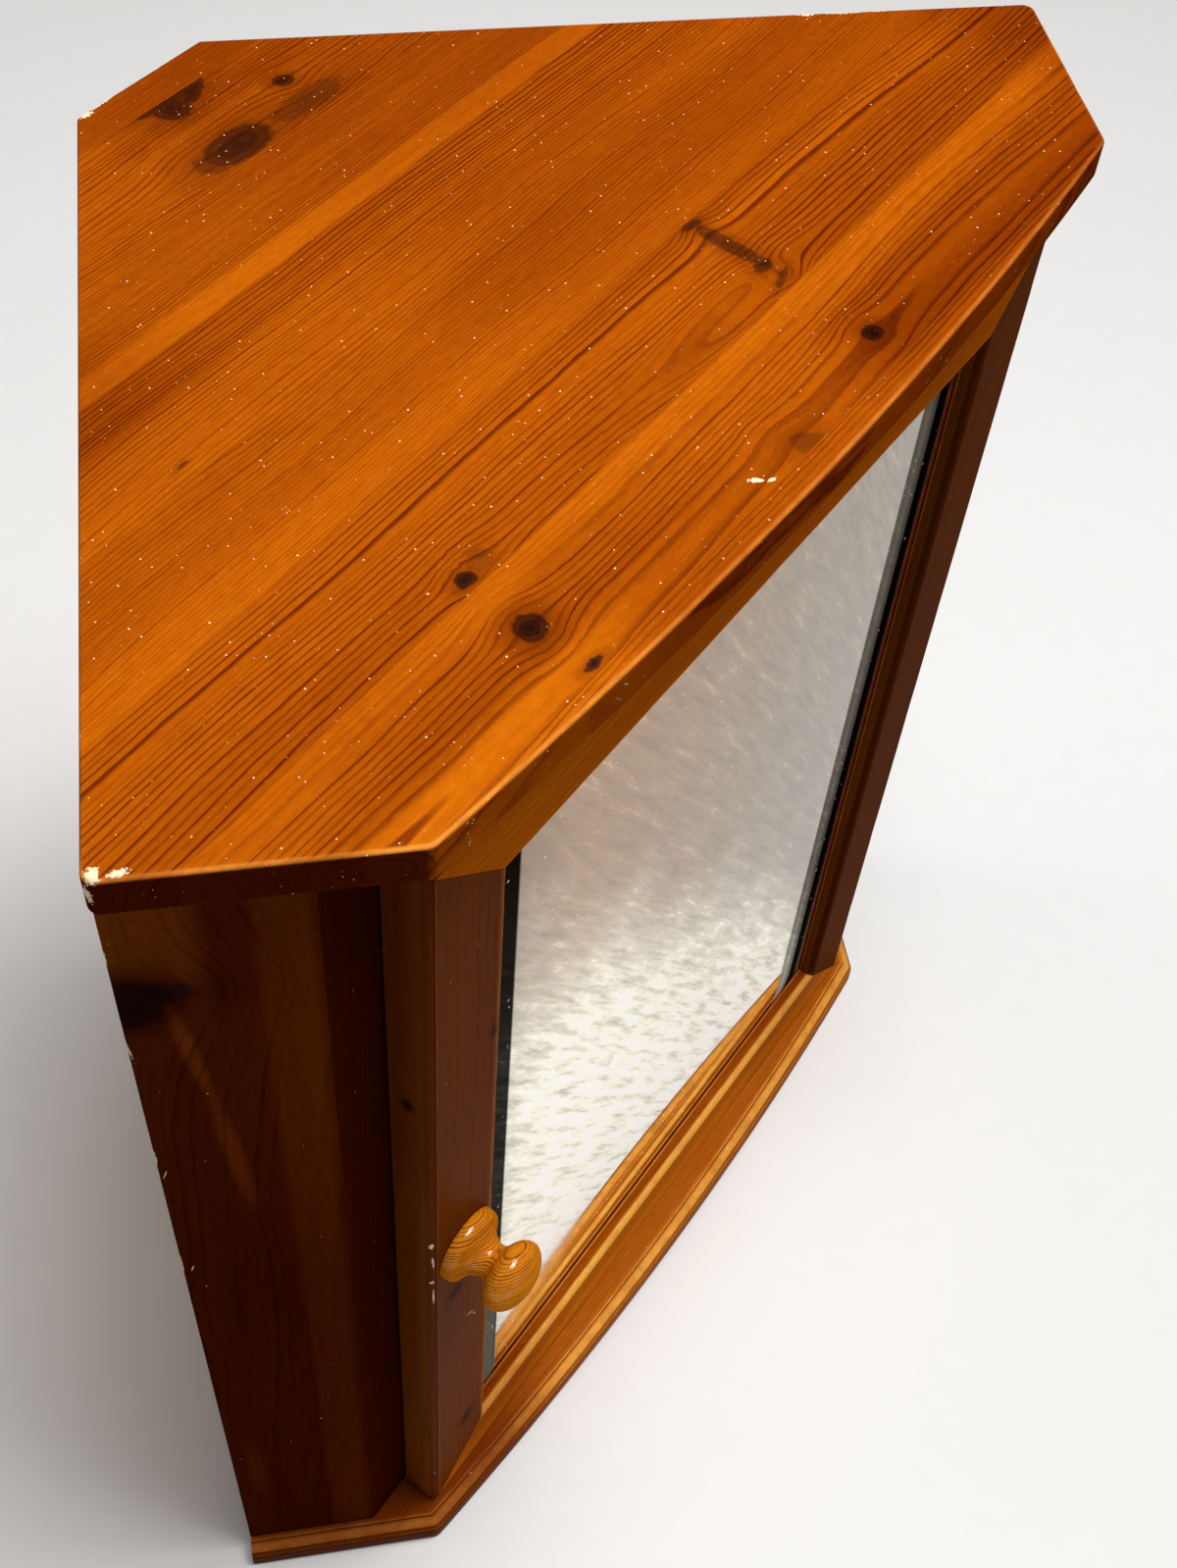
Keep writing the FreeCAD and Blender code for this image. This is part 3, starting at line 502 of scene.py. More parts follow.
def mirror_material():
    """Old silvered glass with dust, whose reflection is partly painted: clear and bright low on the left, browner and
    darker towards the top and right, with a painted speckle of the reflected floor.
    """
    colours = bpy.context.scene.cabinet_finish
    material, shader, place = new_material("mirror glass")
    clouds = speckle(place, (13, 13, 9), 3) - 0.5
    beyond = vector_calc("DOT_PRODUCT", place, (0.729, 0, 0.685), output="Value")
    beyond = clouds.scaled(0.08, beyond - 0.177)
    # The clear mask marks where the painted reflection is bright and clear, low on the left.
    clear = smooth(beyond, -0.04, 0.07, 1, 0)
    axes = put("SeparateXYZ", {0: place})
    across = axes["X"]
    # The browning towards the top and right is partly tarnish and partly a painted darker reflection.
    tarnish_and_dark_reflection = mix_colour(smooth(across, -0.1, 0.1), colours.tarnish, colours.grey_tarnish)
    silver_and_painted_reflection = mix_colour(clear, tarnish_and_dark_reflection, colours.silvering)
    along = vector_calc("DOT_PRODUCT", place, (0.55, 0, -0.83), output="Value")
    aside = vector_calc("DOT_PRODUCT", place, (0.83, 0, 0.55), output="Value")
    # A painted speckle and streaks of the reflected floor, brightest where the painted reflection is clear.
    grain = speckle(combined(along * 26, aside * 215), 1, 3, 0.7)
    force = clear.scaled(1.9, 1.25)
    force = force * smooth(axes["Z"], 0.095, 0.125, 0.15, 1)
    painted_reflection_brightness = (grain - 0.5).scaled(force, across.scaled(-0.65, 1.07))
    painted_reflection_brightness = painted_reflection_brightness + smooth(grain, 0.6, 0.68) * (force * 0.25)
    # Along the sides the bevel is blind, and its look is painted: how much of the painted reflection is left (dark
    # strips of painted shade), how much silver, and how brown it is (a painted reflection of the right stile's inner
    # side).
    edge = ramp_parts(across.scaled(3.125, 0.5), [
        (0, (0.04, 0, 0)), (0.0706, (0.04, 0, 0)), (0.0716, (0.66, 1, 0)), (0.1, (0.82, 1, 0)), (0.2, (1, 1, 0)),
        (0.8835, (1, 1, 0)), (0.887, (0.34, 0.1, 0)), (0.8925, (0.46, 0.12, 0)), (0.908, (0.62, 0.11, 0)),
        (0.913, (0.3, 0.1, 0)), (0.922, (0.28, 0.1, 0)), (0.929, (0, 0, 0)), (0.958, (0.02, 0, 0.4)),
        (0.972, (1, 0.22, 1)), (1, (1, 0.22, 1))])
    # A faint painted reflection kept low in the dark left bevel.
    low_left_painted_reflection = smooth(axes["Z"], 0.13, 0.22, 0.16, 0) * smooth(across, -0.1385, -0.1375, 1, 0)
    painted_reflection_brightness = calc("MAXIMUM", painted_reflection_brightness * edge[0], low_left_painted_reflection)
    # A painted brown reflection of the right stile's inner side along the right bevel.
    silver_and_painted_reflection = mix_colour(edge[2], silver_and_painted_reflection, (0.25, 0.024, 0.001))
    shade = put("CombineColor", {0: painted_reflection_brightness, 1: painted_reflection_brightness, 2: painted_reflection_brightness})[0]
    silver_and_painted_reflection = mix_colour(1, silver_and_painted_reflection, shade, "MULTIPLY")
    speck = shared("dust", Vector=place, Spacing=0.004, Share=0.35)["Speck"]
    shader["Base Color"] = mix_colour(speck * 0.7, silver_and_painted_reflection, (0.95, 0.95, 0.93))
    shader["Metallic"] = edge[1]
    shader["Specular IOR Level"] = 0
    shader["Roughness"] = speck.scaled(0.4, smooth(clouds, -0.05, 0.25, 0.02, 0.08))
    return material


# Small helpers for meshes

def link(item):
    """Puts an object in the scene."""
    bpy.context.scene.collection.objects.link(item)
    return item


def quarter(steps):
    """Sines and cosines over a quarter turn."""
    angles = [math.radians(90 * i / steps) for i in range(steps + 1)]
    return [(math.sin(a), math.cos(a)) for a in angles]


def finish_piece(piece, body, slot, *nodes):
    """Lets a piece ride on its body and stand for its CAD nodes; the slot is not used."""
    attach(piece, body)
    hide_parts(*nodes)


def wooden(name, node, body, rings, wear, material, sharp=35):
    """A wooden piece that stands for a CAD node: successive rings of points in millimetres, closed at both ends.

    It keeps each point's weight of wear and painted light, a painted highlight above zero and painted shade below, and
    is shaded smooth up to the angle sharp."""
    size = len(rings[0])
    faces = [(row + i, row + (i + 1) % size, row + size + (i + 1) % size, row + size + i)
             for row in range(0, (len(rings) - 1) * size, size) for i in range(size)]
    faces += [tuple(reversed(range(size))), tuple((len(rings) - 1) * size + i for i in range(size))]
    mesh = bpy.data.meshes.new(name)
    mesh.from_pydata([tuple(c * MM for c in p) for ring in rings for p in ring], [], faces)
    if wear is not None:
        mesh.attributes.new("wear", "FLOAT", "POINT").data.foreach_set("value", np.array(wear, np.float32))
    work = bmesh.new()
    work.from_mesh(mesh)
    bmesh.ops.recalc_face_normals(work, faces=work.faces)
    work.to_mesh(mesh)
    work.free()
    mesh.shade_smooth()
    mesh.set_sharp_from_angle(angle=math.radians(sharp))
    mesh.materials.append(material)
    finish_piece(link(bpy.data.objects.new(name, mesh)), body, "stained_pine", node)


# Plan outlines of the two boards

def crossing(first, second):
    """Where two lines cross, each a point and a direction."""
    (p, d), (q, e) = first, second
    spread = d[0] * e[1] - d[1] * e[0]
    along = ((q[0] - p[0]) * e[1] - (q[1] - p[1]) * e[0]) / spread
    return p[0] + d[0] * along, p[1] + d[1] * along


def moved_line(start, end, inset):
    """The line from start to end, moved to its left by an inset."""
    length = math.hypot(end[0] - start[0], end[1] - start[1])
    d = ((end[0] - start[0]) / length, (end[1] - start[1]) / length)
    return (start[0] - d[1] * inset, start[1] + d[0] * inset), d


def on_bow(line, radius):
    """Where a line near the front meets a circle about the bow's centre."""
    p, d = line
    gap = (p[0] - BOW_CENTRE[0], p[1] - BOW_CENTRE[1])
    half = gap[0] * d[0] + gap[1] * d[1]
    rest = gap[0] ** 2 + gap[1] ** 2 - radius ** 2
    reach = math.sqrt(half ** 2 - rest)
    along = min((-half - reach, -half + reach), key=lambda t: p[1] + d[1] * t)
    return p[0] + d[0] * along, p[1] + d[1] * along


def bow_spoke(x, y, radius):
    """A line from the bow's centre towards a point, as long as a radius."""
    out = (x - BOW_CENTRE[0], y - BOW_CENTRE[1])
    share = radius / math.hypot(*out)
    return out[0] * share, out[1] * share


def board_ring(front_inset, wall_inset, front_radius, side_radius, back_radius):
    """The board's outline at one inset: points, and how much of each point is moulded edge."""
    right = [FRONT_CORNER, SIDE_CORNER, BACK_CORNER]
    corners = [(-FRONT_CORNER[0], FRONT_CORNER[1])] + right + [(-x, y) for x, y in (BACK_CORNER, SIDE_CORNER)]
    front_edges = (1, 1, 0, 0, 0, 1)
    insets = [front_inset if front else wall_inset for front in front_edges]
    radii = [front_radius, front_radius, side_radius, back_radius, back_radius, side_radius]
    steps = [110, 26, 78, 18, 78, 26]
    fillets = []
    for i in range(6):
        radius = max(radii[i], 0.25)
        before, after = (i - 1) % 6, i
        lines = {edge: moved_line(corners[edge], corners[(edge + 1) % 6], insets[edge] + radius)
                 for edge in (before, after)}
        if 0 in (before, after):
            centre = on_bow(lines[after if before == 0 else before], BOW_RADIUS - front_inset - radius)
        else:
            centre = crossing(lines[before], lines[after])
        touches = []
        for edge in (before, after):
            d = lines[edge][1]
            out = bow_spoke(*centre, radius) if edge == 0 else (d[1] * radius, -d[0] * radius)
            touches.append((centre[0] + out[0], centre[1] + out[1]))
        fillets.append((centre, radius, *touches))
    points, moulded = [], []
    for i in range(6):
        centre, radius, first, last = fillets[i]
        start = math.atan2(first[1] - centre[1], first[0] - centre[0])
        sweep = (math.atan2(last[1] - centre[1], last[0] - centre[0]) - start) % FULL_TURN
        for k in range(9):
            a = start + sweep * k / 8
            points.append((centre[0] + radius * math.cos(a), centre[1] + radius * math.sin(a)))
            moulded.append(max(front_edges[i - 1], front_edges[i]))
        end = fillets[(i + 1) % 6][2]
        for k in range(1, steps[i]):
            t = k / steps[i]
            x, y = last[0] + (end[0] - last[0]) * t, last[1] + (end[1] - last[1]) * t
            if i == 0:
                out = bow_spoke(x, y, BOW_RADIUS - front_inset)
                x, y = BOW_CENTRE[0] + out[0], BOW_CENTRE[1] + out[1]
            points.append((x, y))
            moulded.append(front_edges[i])
    return points, moulded


def dented(point, wear, depth, seed):
    """A point on a worn arris, pushed in a little where the wood is bruised."""
    if wear < 0.4 or depth <= 0:
        return point
    x, y, z = point
    bruise = noise.noise(Vector((x * 0.07 + seed, y * 0.07, z * 0.11))) - 0.18
    small = noise.noise(Vector((x * 0.31, y * 0.31 + seed, z * 0.3))) * 0.3
    amount = depth * wear * max(0, bruise + small)
    length = math.hypot(x, y)
    return x - x / length * amount, y - y / length * amount, z


def board(name, profile, corner_radii, dent, dent_seed, **finish):
    """A board swept round its plan, with its pine: profile rows are inset, wall inset, height, and wear with painted
    light (painted shade below zero).
    """
    rings, wear = [], []
    for inset, wall_inset, height, worn in profile:
        outline, moulded = board_ring(inset, wall_inset, corner_radii[0] - inset, *corner_radii[1:])
        weights = [worn * (0.35 + 0.65 * m if worn > 0 else 1) for m in moulded]
        rings.append([dented((x, y, height), w, dent, dent_seed) for (x, y), w in zip(outline, weights)])
        wear += weights
    material = pine_material(name.replace("_", " ") + " pine", **finish)
    wooden(name + "_wood", name, "carcass", rings, wear, material)


# Sizes and colours that a user may change

def a_colour(name, description, default):
    """A colour that a user may change."""
    return bpy.props.FloatVectorProperty(name=name, description=description, subtype="COLOR", default=default,
                                         min=0, max=1)


def a_length(name, description, default, low, high):
    """A length in metres that a user may change."""
    return bpy.props.FloatProperty(name=name, description=description, unit="LENGTH", default=default, min=low,
                                   max=high)


def a_count(name, description, default, low, high):
    """A whole number that a user may change."""
    return bpy.props.IntProperty(name=name, description=description, default=default, min=low, max=high)


def a_power(name, description, default):
    """A lamp's power that a user may change."""
    return bpy.props.FloatProperty(name=name, description=description, subtype="POWER", default=default, min=0)


class FinishSettings(bpy.types.PropertyGroup):
    """Colours of the stained and varnished pine and of the glass."""
    light_pine: a_colour("Light Pine", "Stained early wood", (0.38, 0.076, 0.0014))
    late_wood: a_colour("Late Wood", "Dark lines of the grain", (0.135, 0.0165, 0.0012))
    knot_halo: a_colour("Knot Halo", "Tint of the wood round a knot, over its stain", (0.46, 0.38, 0.9))
    knot_heart: a_colour("Knot Heart", "Dark wood of a knot", (0.014, 0.0042, 0.003))
    end_grain: a_colour("End Grain", "Ends of the boards, which drank more stain", (0.042, 0.0035, 0.001))
    # Rubbed Pine is worn pine with a painted highlight along the arrises; Pale Arrises is worn pine with a painted
    # highlight on the bottom board's arrises and the bottom rail's lip.
    rubbed_pine: a_colour("Rubbed Pine", "Arrises rubbed bright", (0.8, 0.26, 0.035))
    gilded_pine: a_colour("Pale Arrises", "Arrises of the bottom board and the bottom rail, worn palest",
                      (0.9, 0.415, 0.07))
    bare_wood: a_colour("Bare Wood", "Chips and pale specks", (0.85, 0.68, 0.45))
    # The next four colours are darker copies of the pine for upright faces that the lamps light little: painted shade.
    shaded_pine: a_colour("Shaded Pine", "Redder stain of the upright pieces", (0.078, 0.011, 0.0009))
    shaded_late_wood: a_colour("Shaded Late Wood", "Grain lines of the upright pieces", (0.034, 0.004, 0.0005))
    stile_pine: a_colour("Stile Pine", "Stain of the door's stiles", (0.15, 0.032, 0.002))
    stile_late_wood: a_colour("Stile Late Wood", "Grain lines of the stiles", (0.098, 0.0175, 0.0013))
    rail_pine: a_colour("Rail Pine", "Lighter stain of the rails and the bottom board", (0.5, 0.118, 0.004))
    rail_late_wood: a_colour("Rail Late Wood", "Grain lines of the rails", (0.27, 0.052, 0.003))
    board_pine: a_colour("Board Pine", "Palest stain, on the bottom board", (0.44, 0.112, 0.007))
    board_late_wood: a_colour("Board Late Wood", "Grain lines of the bottom board", (0.24, 0.05, 0.004))
    silvering: a_colour("Silvering", "Tint of the mirror", (0.97, 0.945, 0.79))
    tarnish: a_colour("Tarnish", "Tint of the mirror where it has browned", (0.335, 0.205, 0.115))
    grey_tarnish: a_colour("Grey Tarnish", "Tint of the mirror where it has greyed", (0.27, 0.215, 0.16))


class BoardSettings(bpy.types.PropertyGroup):
    """Edges of the top and bottom boards."""
    upper_arris: a_length("Upper Arris", "Radius of the top board's upper edge", 0.0018, 0.0004, 0.003)
    lower_arris: a_length("Lower Arris", "Radius of the top board's lower edge", 0.0012, 0.0004, 0.003)
    mould_inset: a_length("Moulding Inset", "Width of the rounded moulding", 0.0064, 0.003, 0.01)
    mould_step: a_length("Moulding Step", "Height of the step behind the moulding", 0.001, 0.0003, 0.003)
    mould_radius: a_length("Moulding Radius", "Upper radius of the moulding", 0.0054, 0.001, 0.008)
    dent_depth: a_length("Dent Depth", "Depth of the bruises along the arrises", 0.0006, 0, 0.002)


class DoorSettings(bpy.types.PropertyGroup):
    """Section of the door's frame."""
    outer_round: a_length("Outer Round", "Radius along the outer arris", 0.0024, 0.001, 0.004)
    quirk: a_length("Quirk", "Depth of the small step beside the outer round", 0.0006, 0.0002, 0.001)
    sight_round: a_length("Sight Round", "Radius along the mirror", 0.0033, 0.001, 0.005)
    mitre_gap: a_length("Mitre Gap", "Half of the open line at each mitre", 0.00018, 0, 0.0005)


class KnobSettings(bpy.types.PropertyGroup):
    """The turned knob."""
    head_radius: a_length("Head Radius", "Radius of the knob's head", 0.015, 0.01, 0.0158)
    neck_radius: a_length("Neck Radius", "Radius of the knob's neck", 0.0073, 0.004, 0.012)
    sides: a_count("Sides", "Steps round the knob", 96, 24, 256)


class HingeSettings(bpy.types.PropertyGroup):
    """Screws of the hinges."""
    screw_head_radius: a_length("Screw Head Radius", "Radius of a screw's head", 0.0026, 0.001, 0.004)
    slot_width: a_length("Slot Width", "Width of a screw's cross slot", 0.0007, 0.0002, 0.002)
    turn_seed: a_count("Turn Seed", "Seed for how far each screw is turned", 4, 0, 999)


class StageSettings(bpy.types.PropertyGroup):
    """Floor and lights."""
    floor_colour: a_colour("Floor Colour", "Plain pale floor", (0.88, 0.87, 0.855))
    key_power: a_power("Key Power", "Soft light from above", 65)
    core_power: a_power("Core Power", "Small middle of the soft light, for highlights", 13)
    rear_power: a_power("Rear Power", "Soft light from above and behind", 12)
    sky_strength: bpy.props.FloatProperty(name="Sky Strength", description="Even light from all round",
                                          default=0.1, min=0)


# Operators, one for each piece or group of like pieces

# Knots of the top board: x, y, half length, half width, turn, depth, push
TOP_KNOTS = (
    (-7.3, 98.3, 16.4, 9.2, 0, 0.88, 0.6), (-22.5, 97.5, 4.5, 6.5, -0.5, 0.5, 0.2), (29.5, 97.2, 19, 6.4, 0, 0.5, 0.3),
    (-3.5, 136, 18, 3, 0, 0.9, 0.1), (-6, 131.5, 8, 8.5, 0.5, 0.88, 0.1),
    (5.5, 132.5, 9.5, 4, -0.4, 0.88, 0.1), (32.7, 111.9, 4.4, 3.6, 0.5, 0.9, 0.8),
    (-121, -92.6, 4, 3.2, 0, 1, 0.7), (-112, -91, 5, 4.2, 0, 0.3, 0.5),
    (-124, -118.5, 5.6, 5.8, 0.6, 1, 0.85), (-123.5, -140.4, 4, 1.8, 0, 1, 0.7),
    (50, -130.6, 4.4, 3.8, 0, 1, 0.85),
    (58.8, -52.5, 5, 2.2, 0.2, 0.75, 0.1), (58, -68, 3.6, 17, 0.05, 0.72, 0.3),
    (56.2, -83.5, 4.6, 3.2, 0, 0.8, 0.2), (55, -92, 6.6, 1.6, -0.3, 0.6, 0.3),
    (30, -88, 19, 3.8, 0, 0, 1.65),
    (-137.5, 3.1, 2.8, 0.7, 0, 0.7, 0.3), (-8, -142, 7, 5, 0.9, 0.45, 0.6),
)
# Bands across the top board: y, tone, strength of the grain lines
TOP_BANDS = (
    (-153, 0.92, 0.8), (-143.6, 0.95, 0.8), (-110, 1, 0.8), (-106.5, 1.14, 0.4), (-97.2, 1.2, 0.3),
    (-96.6, 0.88, 1), (-76, 0.96, 0.95), (-55, 1, 0.9), (-50.6, 1, 0.8), (-50.2, 1.1, 0.5),
    (-38, 1.08, 0.6), (-34, 1, 0.7), (-3.4, 1, 0.6), (-2.8, 1.04, 0.6), (20, 1, 0.8),
    (27, 0.93, 1.1), (42.8, 0.88, 1.25), (43.4, 1.2, 0.3), (53, 1.18, 0.4), (55, 0.98, 1.1),
    (90.2, 0.98, 1.2), (90.7, 0.94, 0.9), (136.5, 0.98, 0.8), (137.2, 0.92, 0.8), (153, 0.92, 0.8),
)
# Parts of the top board with denser lines or darker wood: x from, to, y from, to, softness, gain, tone
TOP_PATCHES = (
    (65, 270, -97, -66, 30, 1.3, 0.86), (-270, -110, -90, -50, 60, 1.1, 1.06),
    (20, 270, 28, 43, 40, 1.3, 1.08), (30, 270, -50, 153, 90, 1.1, 0.80),
    (-20, 270, -28, -10, 30, 1, 0.92), (60, 270, -143.5, -118, 40, 1.2, 0.70),
    (250, 290, -110, -50, 50, 1, 0.68), (-230, -140, 30, 62, 60, 1, 0.75),
    (-170, -80, -124, -110, 60, 1.1, 0.86), (-30, 40, 120, 153, 20, 1, 0.9),
    (-22, 46, -92, -80, 18, 0.5, 1), (-270, -128, -170, -134, 40, 1, 1.34),
    (60, 270, -170, -136, 60, 1, 0.86),
)
# How each stave of the top board was sawn, from the front: pith beside its middle, pith below, ring width
TOP_SAWING = (
    (-30, 10, 2.4), (-14, 9, 2.6), (-48, 14, 2.5), (60, 10, 1.5), (64, 12, 1.7),
    (-70, 8, 1.15), (48, 22, 1.9), (50, 15, 1.4),
)
# Chips that bare the wood: x, y, z, half length, half width, half height, turn
TOP_SPOTS = (
    (-33, -137.2, 0, 3, 1.3, 4, 0.9), (-29.5, -141, 0, 1.9, 0.9, 4, 0.3),
    (-260.5, -80.5, 0, 2.4, 3.6, 2, 0.75), (-255.5, -85, 0, 3.6, 1.2, 2, 0.6),
    (-263, -79.5, -6.5, 2.4, 2, 4, 0.6), (209, -24.6, 0, 11, 1.5, 2.5, 0.785),
    (198, -13.6, 0, 5, 1.8, 2.5, 0.785), (219, -34.5, 0, 5, 1.3, 2.5, 0.785),
    (-29, 151.6, -0.5, 4, 1.6, 2, 0.3), (-21, 152.4, -0.5, 6, 1.2, 2, 0),
    (10, 152.6, -0.3, 14, 0.7, 1.5, 0), (70, 114.5, 0, 3, 0.9, 2, 0.785),
)


class CABINET_OT_boards(bpy.types.Operator):
    """Makes the top board and the moulded bottom board"""
    bl_idname = "cabinet.boards"
    bl_label = "Boards"

    def execute(self, context):
        sizes = context.scene.cabinet_boards
        upper, lower, dent = sizes.upper_arris / MM, sizes.lower_arris / MM, sizes.dent_depth / MM
        top, under = CABINET_HEIGHT, CABINET_HEIGHT - BOARD_THICKNESS
        # Weights below zero paint shade on the front face below the upper round and along the lower arris; the rubbed
        # upper round carries a painted highlight.
        profile = [(upper + 1.2, upper * 0.6 + 1.2, top, 0), (upper + 0.3, upper * 0.6 + 0.3, top, 0.05)]
        for (s, c), worn in zip(quarter(6), (0, 0.3, 0.85, 1, 0.8, 0.1, -0.4)):
            profile.append((upper * (1 - s), upper * 0.6 * (1 - s), top - upper * (1 - c), worn))
        profile += [(0, 0, top - upper - 0.6, -0.5), (0, 0, under + lower + 0.5, -0.5)]
        profile += [(lower * (1 - c), lower * 0.3 * (1 - c), under + lower * (1 - s), -0.2) for s, c in quarter(5)]
        profile.append((lower + 1, lower + 1, under, 0))
        board("top_board", profile, (7, 4, 1.5), dent, 3.1, centre=(0, 0, top), staves=(0.0466, -0.1435),
              sawing=TOP_SAWING, bands=TOP_BANDS, patches=TOP_PATCHES, knots=TOP_KNOTS, spots=TOP_SPOTS, seed=1.7,
              taper=0.012, waviness=0.0045, lines=1.2, rub=0.9, dust=0.95, end_grain=0.9, shine=0)

        inset, radius, top = sizes.mould_inset / MM, sizes.mould_radius / MM, BOARD_THICKNESS
        shoulder = top - sizes.mould_step / MM
        # Weights below zero paint shade in the step behind the moulding, on the bullnose below its rubbed top and
        # round the foot; the rubbed arrises carry a painted highlight.
        profile = [(inset + 1.6, 1.6, top, 0), (inset + 0.5, 0.4, top, 0.5), (inset + 0.12, 0.1, top - 0.12, 1),
                   (inset, 0, top - 0.45, 0.9), (inset, 0, shoulder + 0.08, -0.6),
                   (inset - 0.2, 0, shoulder - 0.05, -0.9), (inset - 0.6, 0, shoulder, 0.4)]
        for (s, c), worn in zip(quarter(9)[1:], (1, 1, 1, 0.9, -0.5, 0.3, 0.2, -0.2, -0.6)):
            profile.append((radius * (1 - s), 0, shoulder - radius * (1 - c), worn))
        foot = 2.4
        profile.append((0, 0, foot + 3.4, -0.35))
        profile += [(foot * (1 - c), 0, foot * (1 - s), -0.5) for s, c in quarter(6)]
        profile.append((foot + 1.5, 1.5, 0, 0))
        board("bottom_board", profile, (7, 0.5, 0.5), dent, 8.4, centre=(0, 0, top), staves=(0.0466, -0.1285),
              seed=5.2, ring_width=0.0026, taper=0.01, waviness=0.003, lines=0.7, rub=1.1, chips=0.2, shine=0.004,
              patches=((-270, -160, -150, 0, 70, 1, 0.42),), stain="board_pine board_late_wood",
              worn="gilded_pine", end_grain=0.5)
        return {"FINISHED"}


def upright(name, node, side, corners, radii, **finish):
    """An upright piece between the boards, on a plan outline whose corners are rounded."""
    low, high, rows = BOARD_THICKNESS, CABINET_HEIGHT - BOARD_THICKNESS, 24
    label = "right" if side > 0 else "left"
    corners = [Vector((side * x, y)) for x, y in corners][::side]
    outline, wear = [], []
    for i, (corner, radius) in enumerate(zip(corners, radii[::side])):
        after = corners[(i + 1) % len(corners)]
        toward = [(other - corner).normalized() for other in (corners[i - 1], after)]
        reach = radius / math.tan(toward[0].angle(toward[1]) / 2)
        start, end = corner + toward[0] * reach, corner + toward[1] * reach
        for k in range(7):
            t = k / 6
            outline.append(tuple(start.lerp(corner, t).lerp(corner.lerp(end, t), t)))
            wear.append(1 if radius > 0.5 and 0 < k < 6 else 0.15)
        for k in range(1, 4):
            outline.append(tuple(end.lerp(after - toward[1] * 2, k / 4)))
            wear.append(0)
    rings = [[(x, y, low + (high - low) * r / rows) for x, y in outline] for r in range(rows + 1)]
    # The upright pieces take the shaded pine, a darker copy of the stain: painted shade.
    material = pine_material(label + " " + name + " pine", order="ZXY", lines=0.55, shine=0, rub=0.12, dust=0.05,
                             stain="shaded_pine shaded_late_wood", **finish)
    wooden(label + "_" + name + "_wood", label + "_" + node, "carcass", rings, wear * (rows + 1), material)


# Marks on the left return panel
RETURN_KNOTS = ((229, -35, 15, 15, 0, 1, 0.8), (233, -26, 7, 15, 0, 1, 0.4))
RETURN_STREAKS = (
    (229, -30, 26, 24, 0, 0.35), (197, -16.5, 42, 4, 0.127, 2), (126, -9, 58, 4.6, 0.086, 1.9),
    (-190, -24, 48, 6, 0, 1.6),
)
RETURN_SPOTS = (
    (255, -34.2, 0, 4, 0.5, 3, 0), (205, -34.2, 0, 9, 0.4, 3, 0.1), (130, -34.2, 0, 5, 0.5, 3, 0),
    (118, -32.4, 0, 3, 0.25, 3, -0.3), (40, -31, 0, 2.4, 0.3, 3, -0.3), (45, -34.2, 0, 8, 0.3, 3, 0),
)


class CABINET_OT_uprights(bpy.types.Operator):
    """Makes the canted side panels, the front posts and the head rail"""
    bl_idname = "cabinet.uprights"
    bl_label = "Uprights"

    def execute(self, context):
        root_half = math.sqrt(0.5)
        inset, thick, post_width, rail_height = 8.8, 16, 40, 40

        def return_line(distance):
            start = (FRONT_CORNER[0] - root_half * distance, FRONT_CORNER[1] + root_half * distance)
            return start, (root_half, root_half)

        wall = (SIDE_CORNER, (-root_half, root_half))
        arris = crossing(return_line(inset), ((0, POST_FACE), (1, 0)))
        outer = crossing(return_line(inset), wall)
        inner = crossing(return_line(inset + thick), wall)
        joint = crossing(return_line(inset + thick), ((0, POST_BACK), (1, 0)))
        post_inner = arris[0] - post_width
        for side in (1, -1):
            left = side < 0
            upright("return", "return_panel", side, (arris, outer, inner, joint), (0.15, 0.5, 0.3, 0.3),
                    centre=(side * 234, -98, 300), turn=math.radians(-45 * side), seed=2.3 + side, pith=0.03,
                    ring_width=0.0034, taper=0.035, waviness=0.009,
                    patches=((248, 290, side * 37 - 23, side * 37 + 23, 60, 0.6, 2.3),
                             (-300, 0, -100, 100, 200, 1, 0.62), (-300, 300, 9, 21, 24, 0.6, 1.5)),
                    knots=RETURN_KNOTS if left else (), streaks=RETURN_STREAKS if left else (),
                    spots=RETURN_SPOTS if left else ())
            # On the left post the patch darkens the front face beside the door: painted shade.
            upright("post", "front_post", side, (arris, joint, (post_inner, POST_BACK), (post_inner, POST_FACE)),
                    (0.15, 0.3, 0.3, 0.8), centre=(side * 195, POST_FACE, 300), seed=7.9 + side, ring_width=0.003,
                    patches=((-300, 300, -200, 4, 30, 1, 0.55),) if left else ())

        high = CABINET_HEIGHT - BOARD_THICKNESS
        low, columns = high - rail_height, 30
        outline = [(POST_FACE, low + 0.9), (POST_FACE + 0.12, low + 0.4), (POST_FACE + 0.4, low + 0.12),
                   (POST_FACE + 0.9, low), (POST_BACK, low), (POST_BACK, high), (POST_FACE, high)]
        rings = [[(x, y, z) for y, z in outline] for x in np.linspace(-post_inner, post_inner, columns)]
        wear = [1 if k in (1, 2) else 0 for k in range(len(outline))] * columns
        # The head rail takes the shaded stile pine: painted shade.
        material = pine_material("head rail pine", centre=(0, POST_FACE, 570), order="XZY", seed=3.3,
                                 stain="stile_pine stile_late_wood", shine=0.01, rub=0.3, dust=0.05)
        wooden("head_rail_wood", "head_rail", "carcass", rings, wear, material)
        return {"FINISHED"}


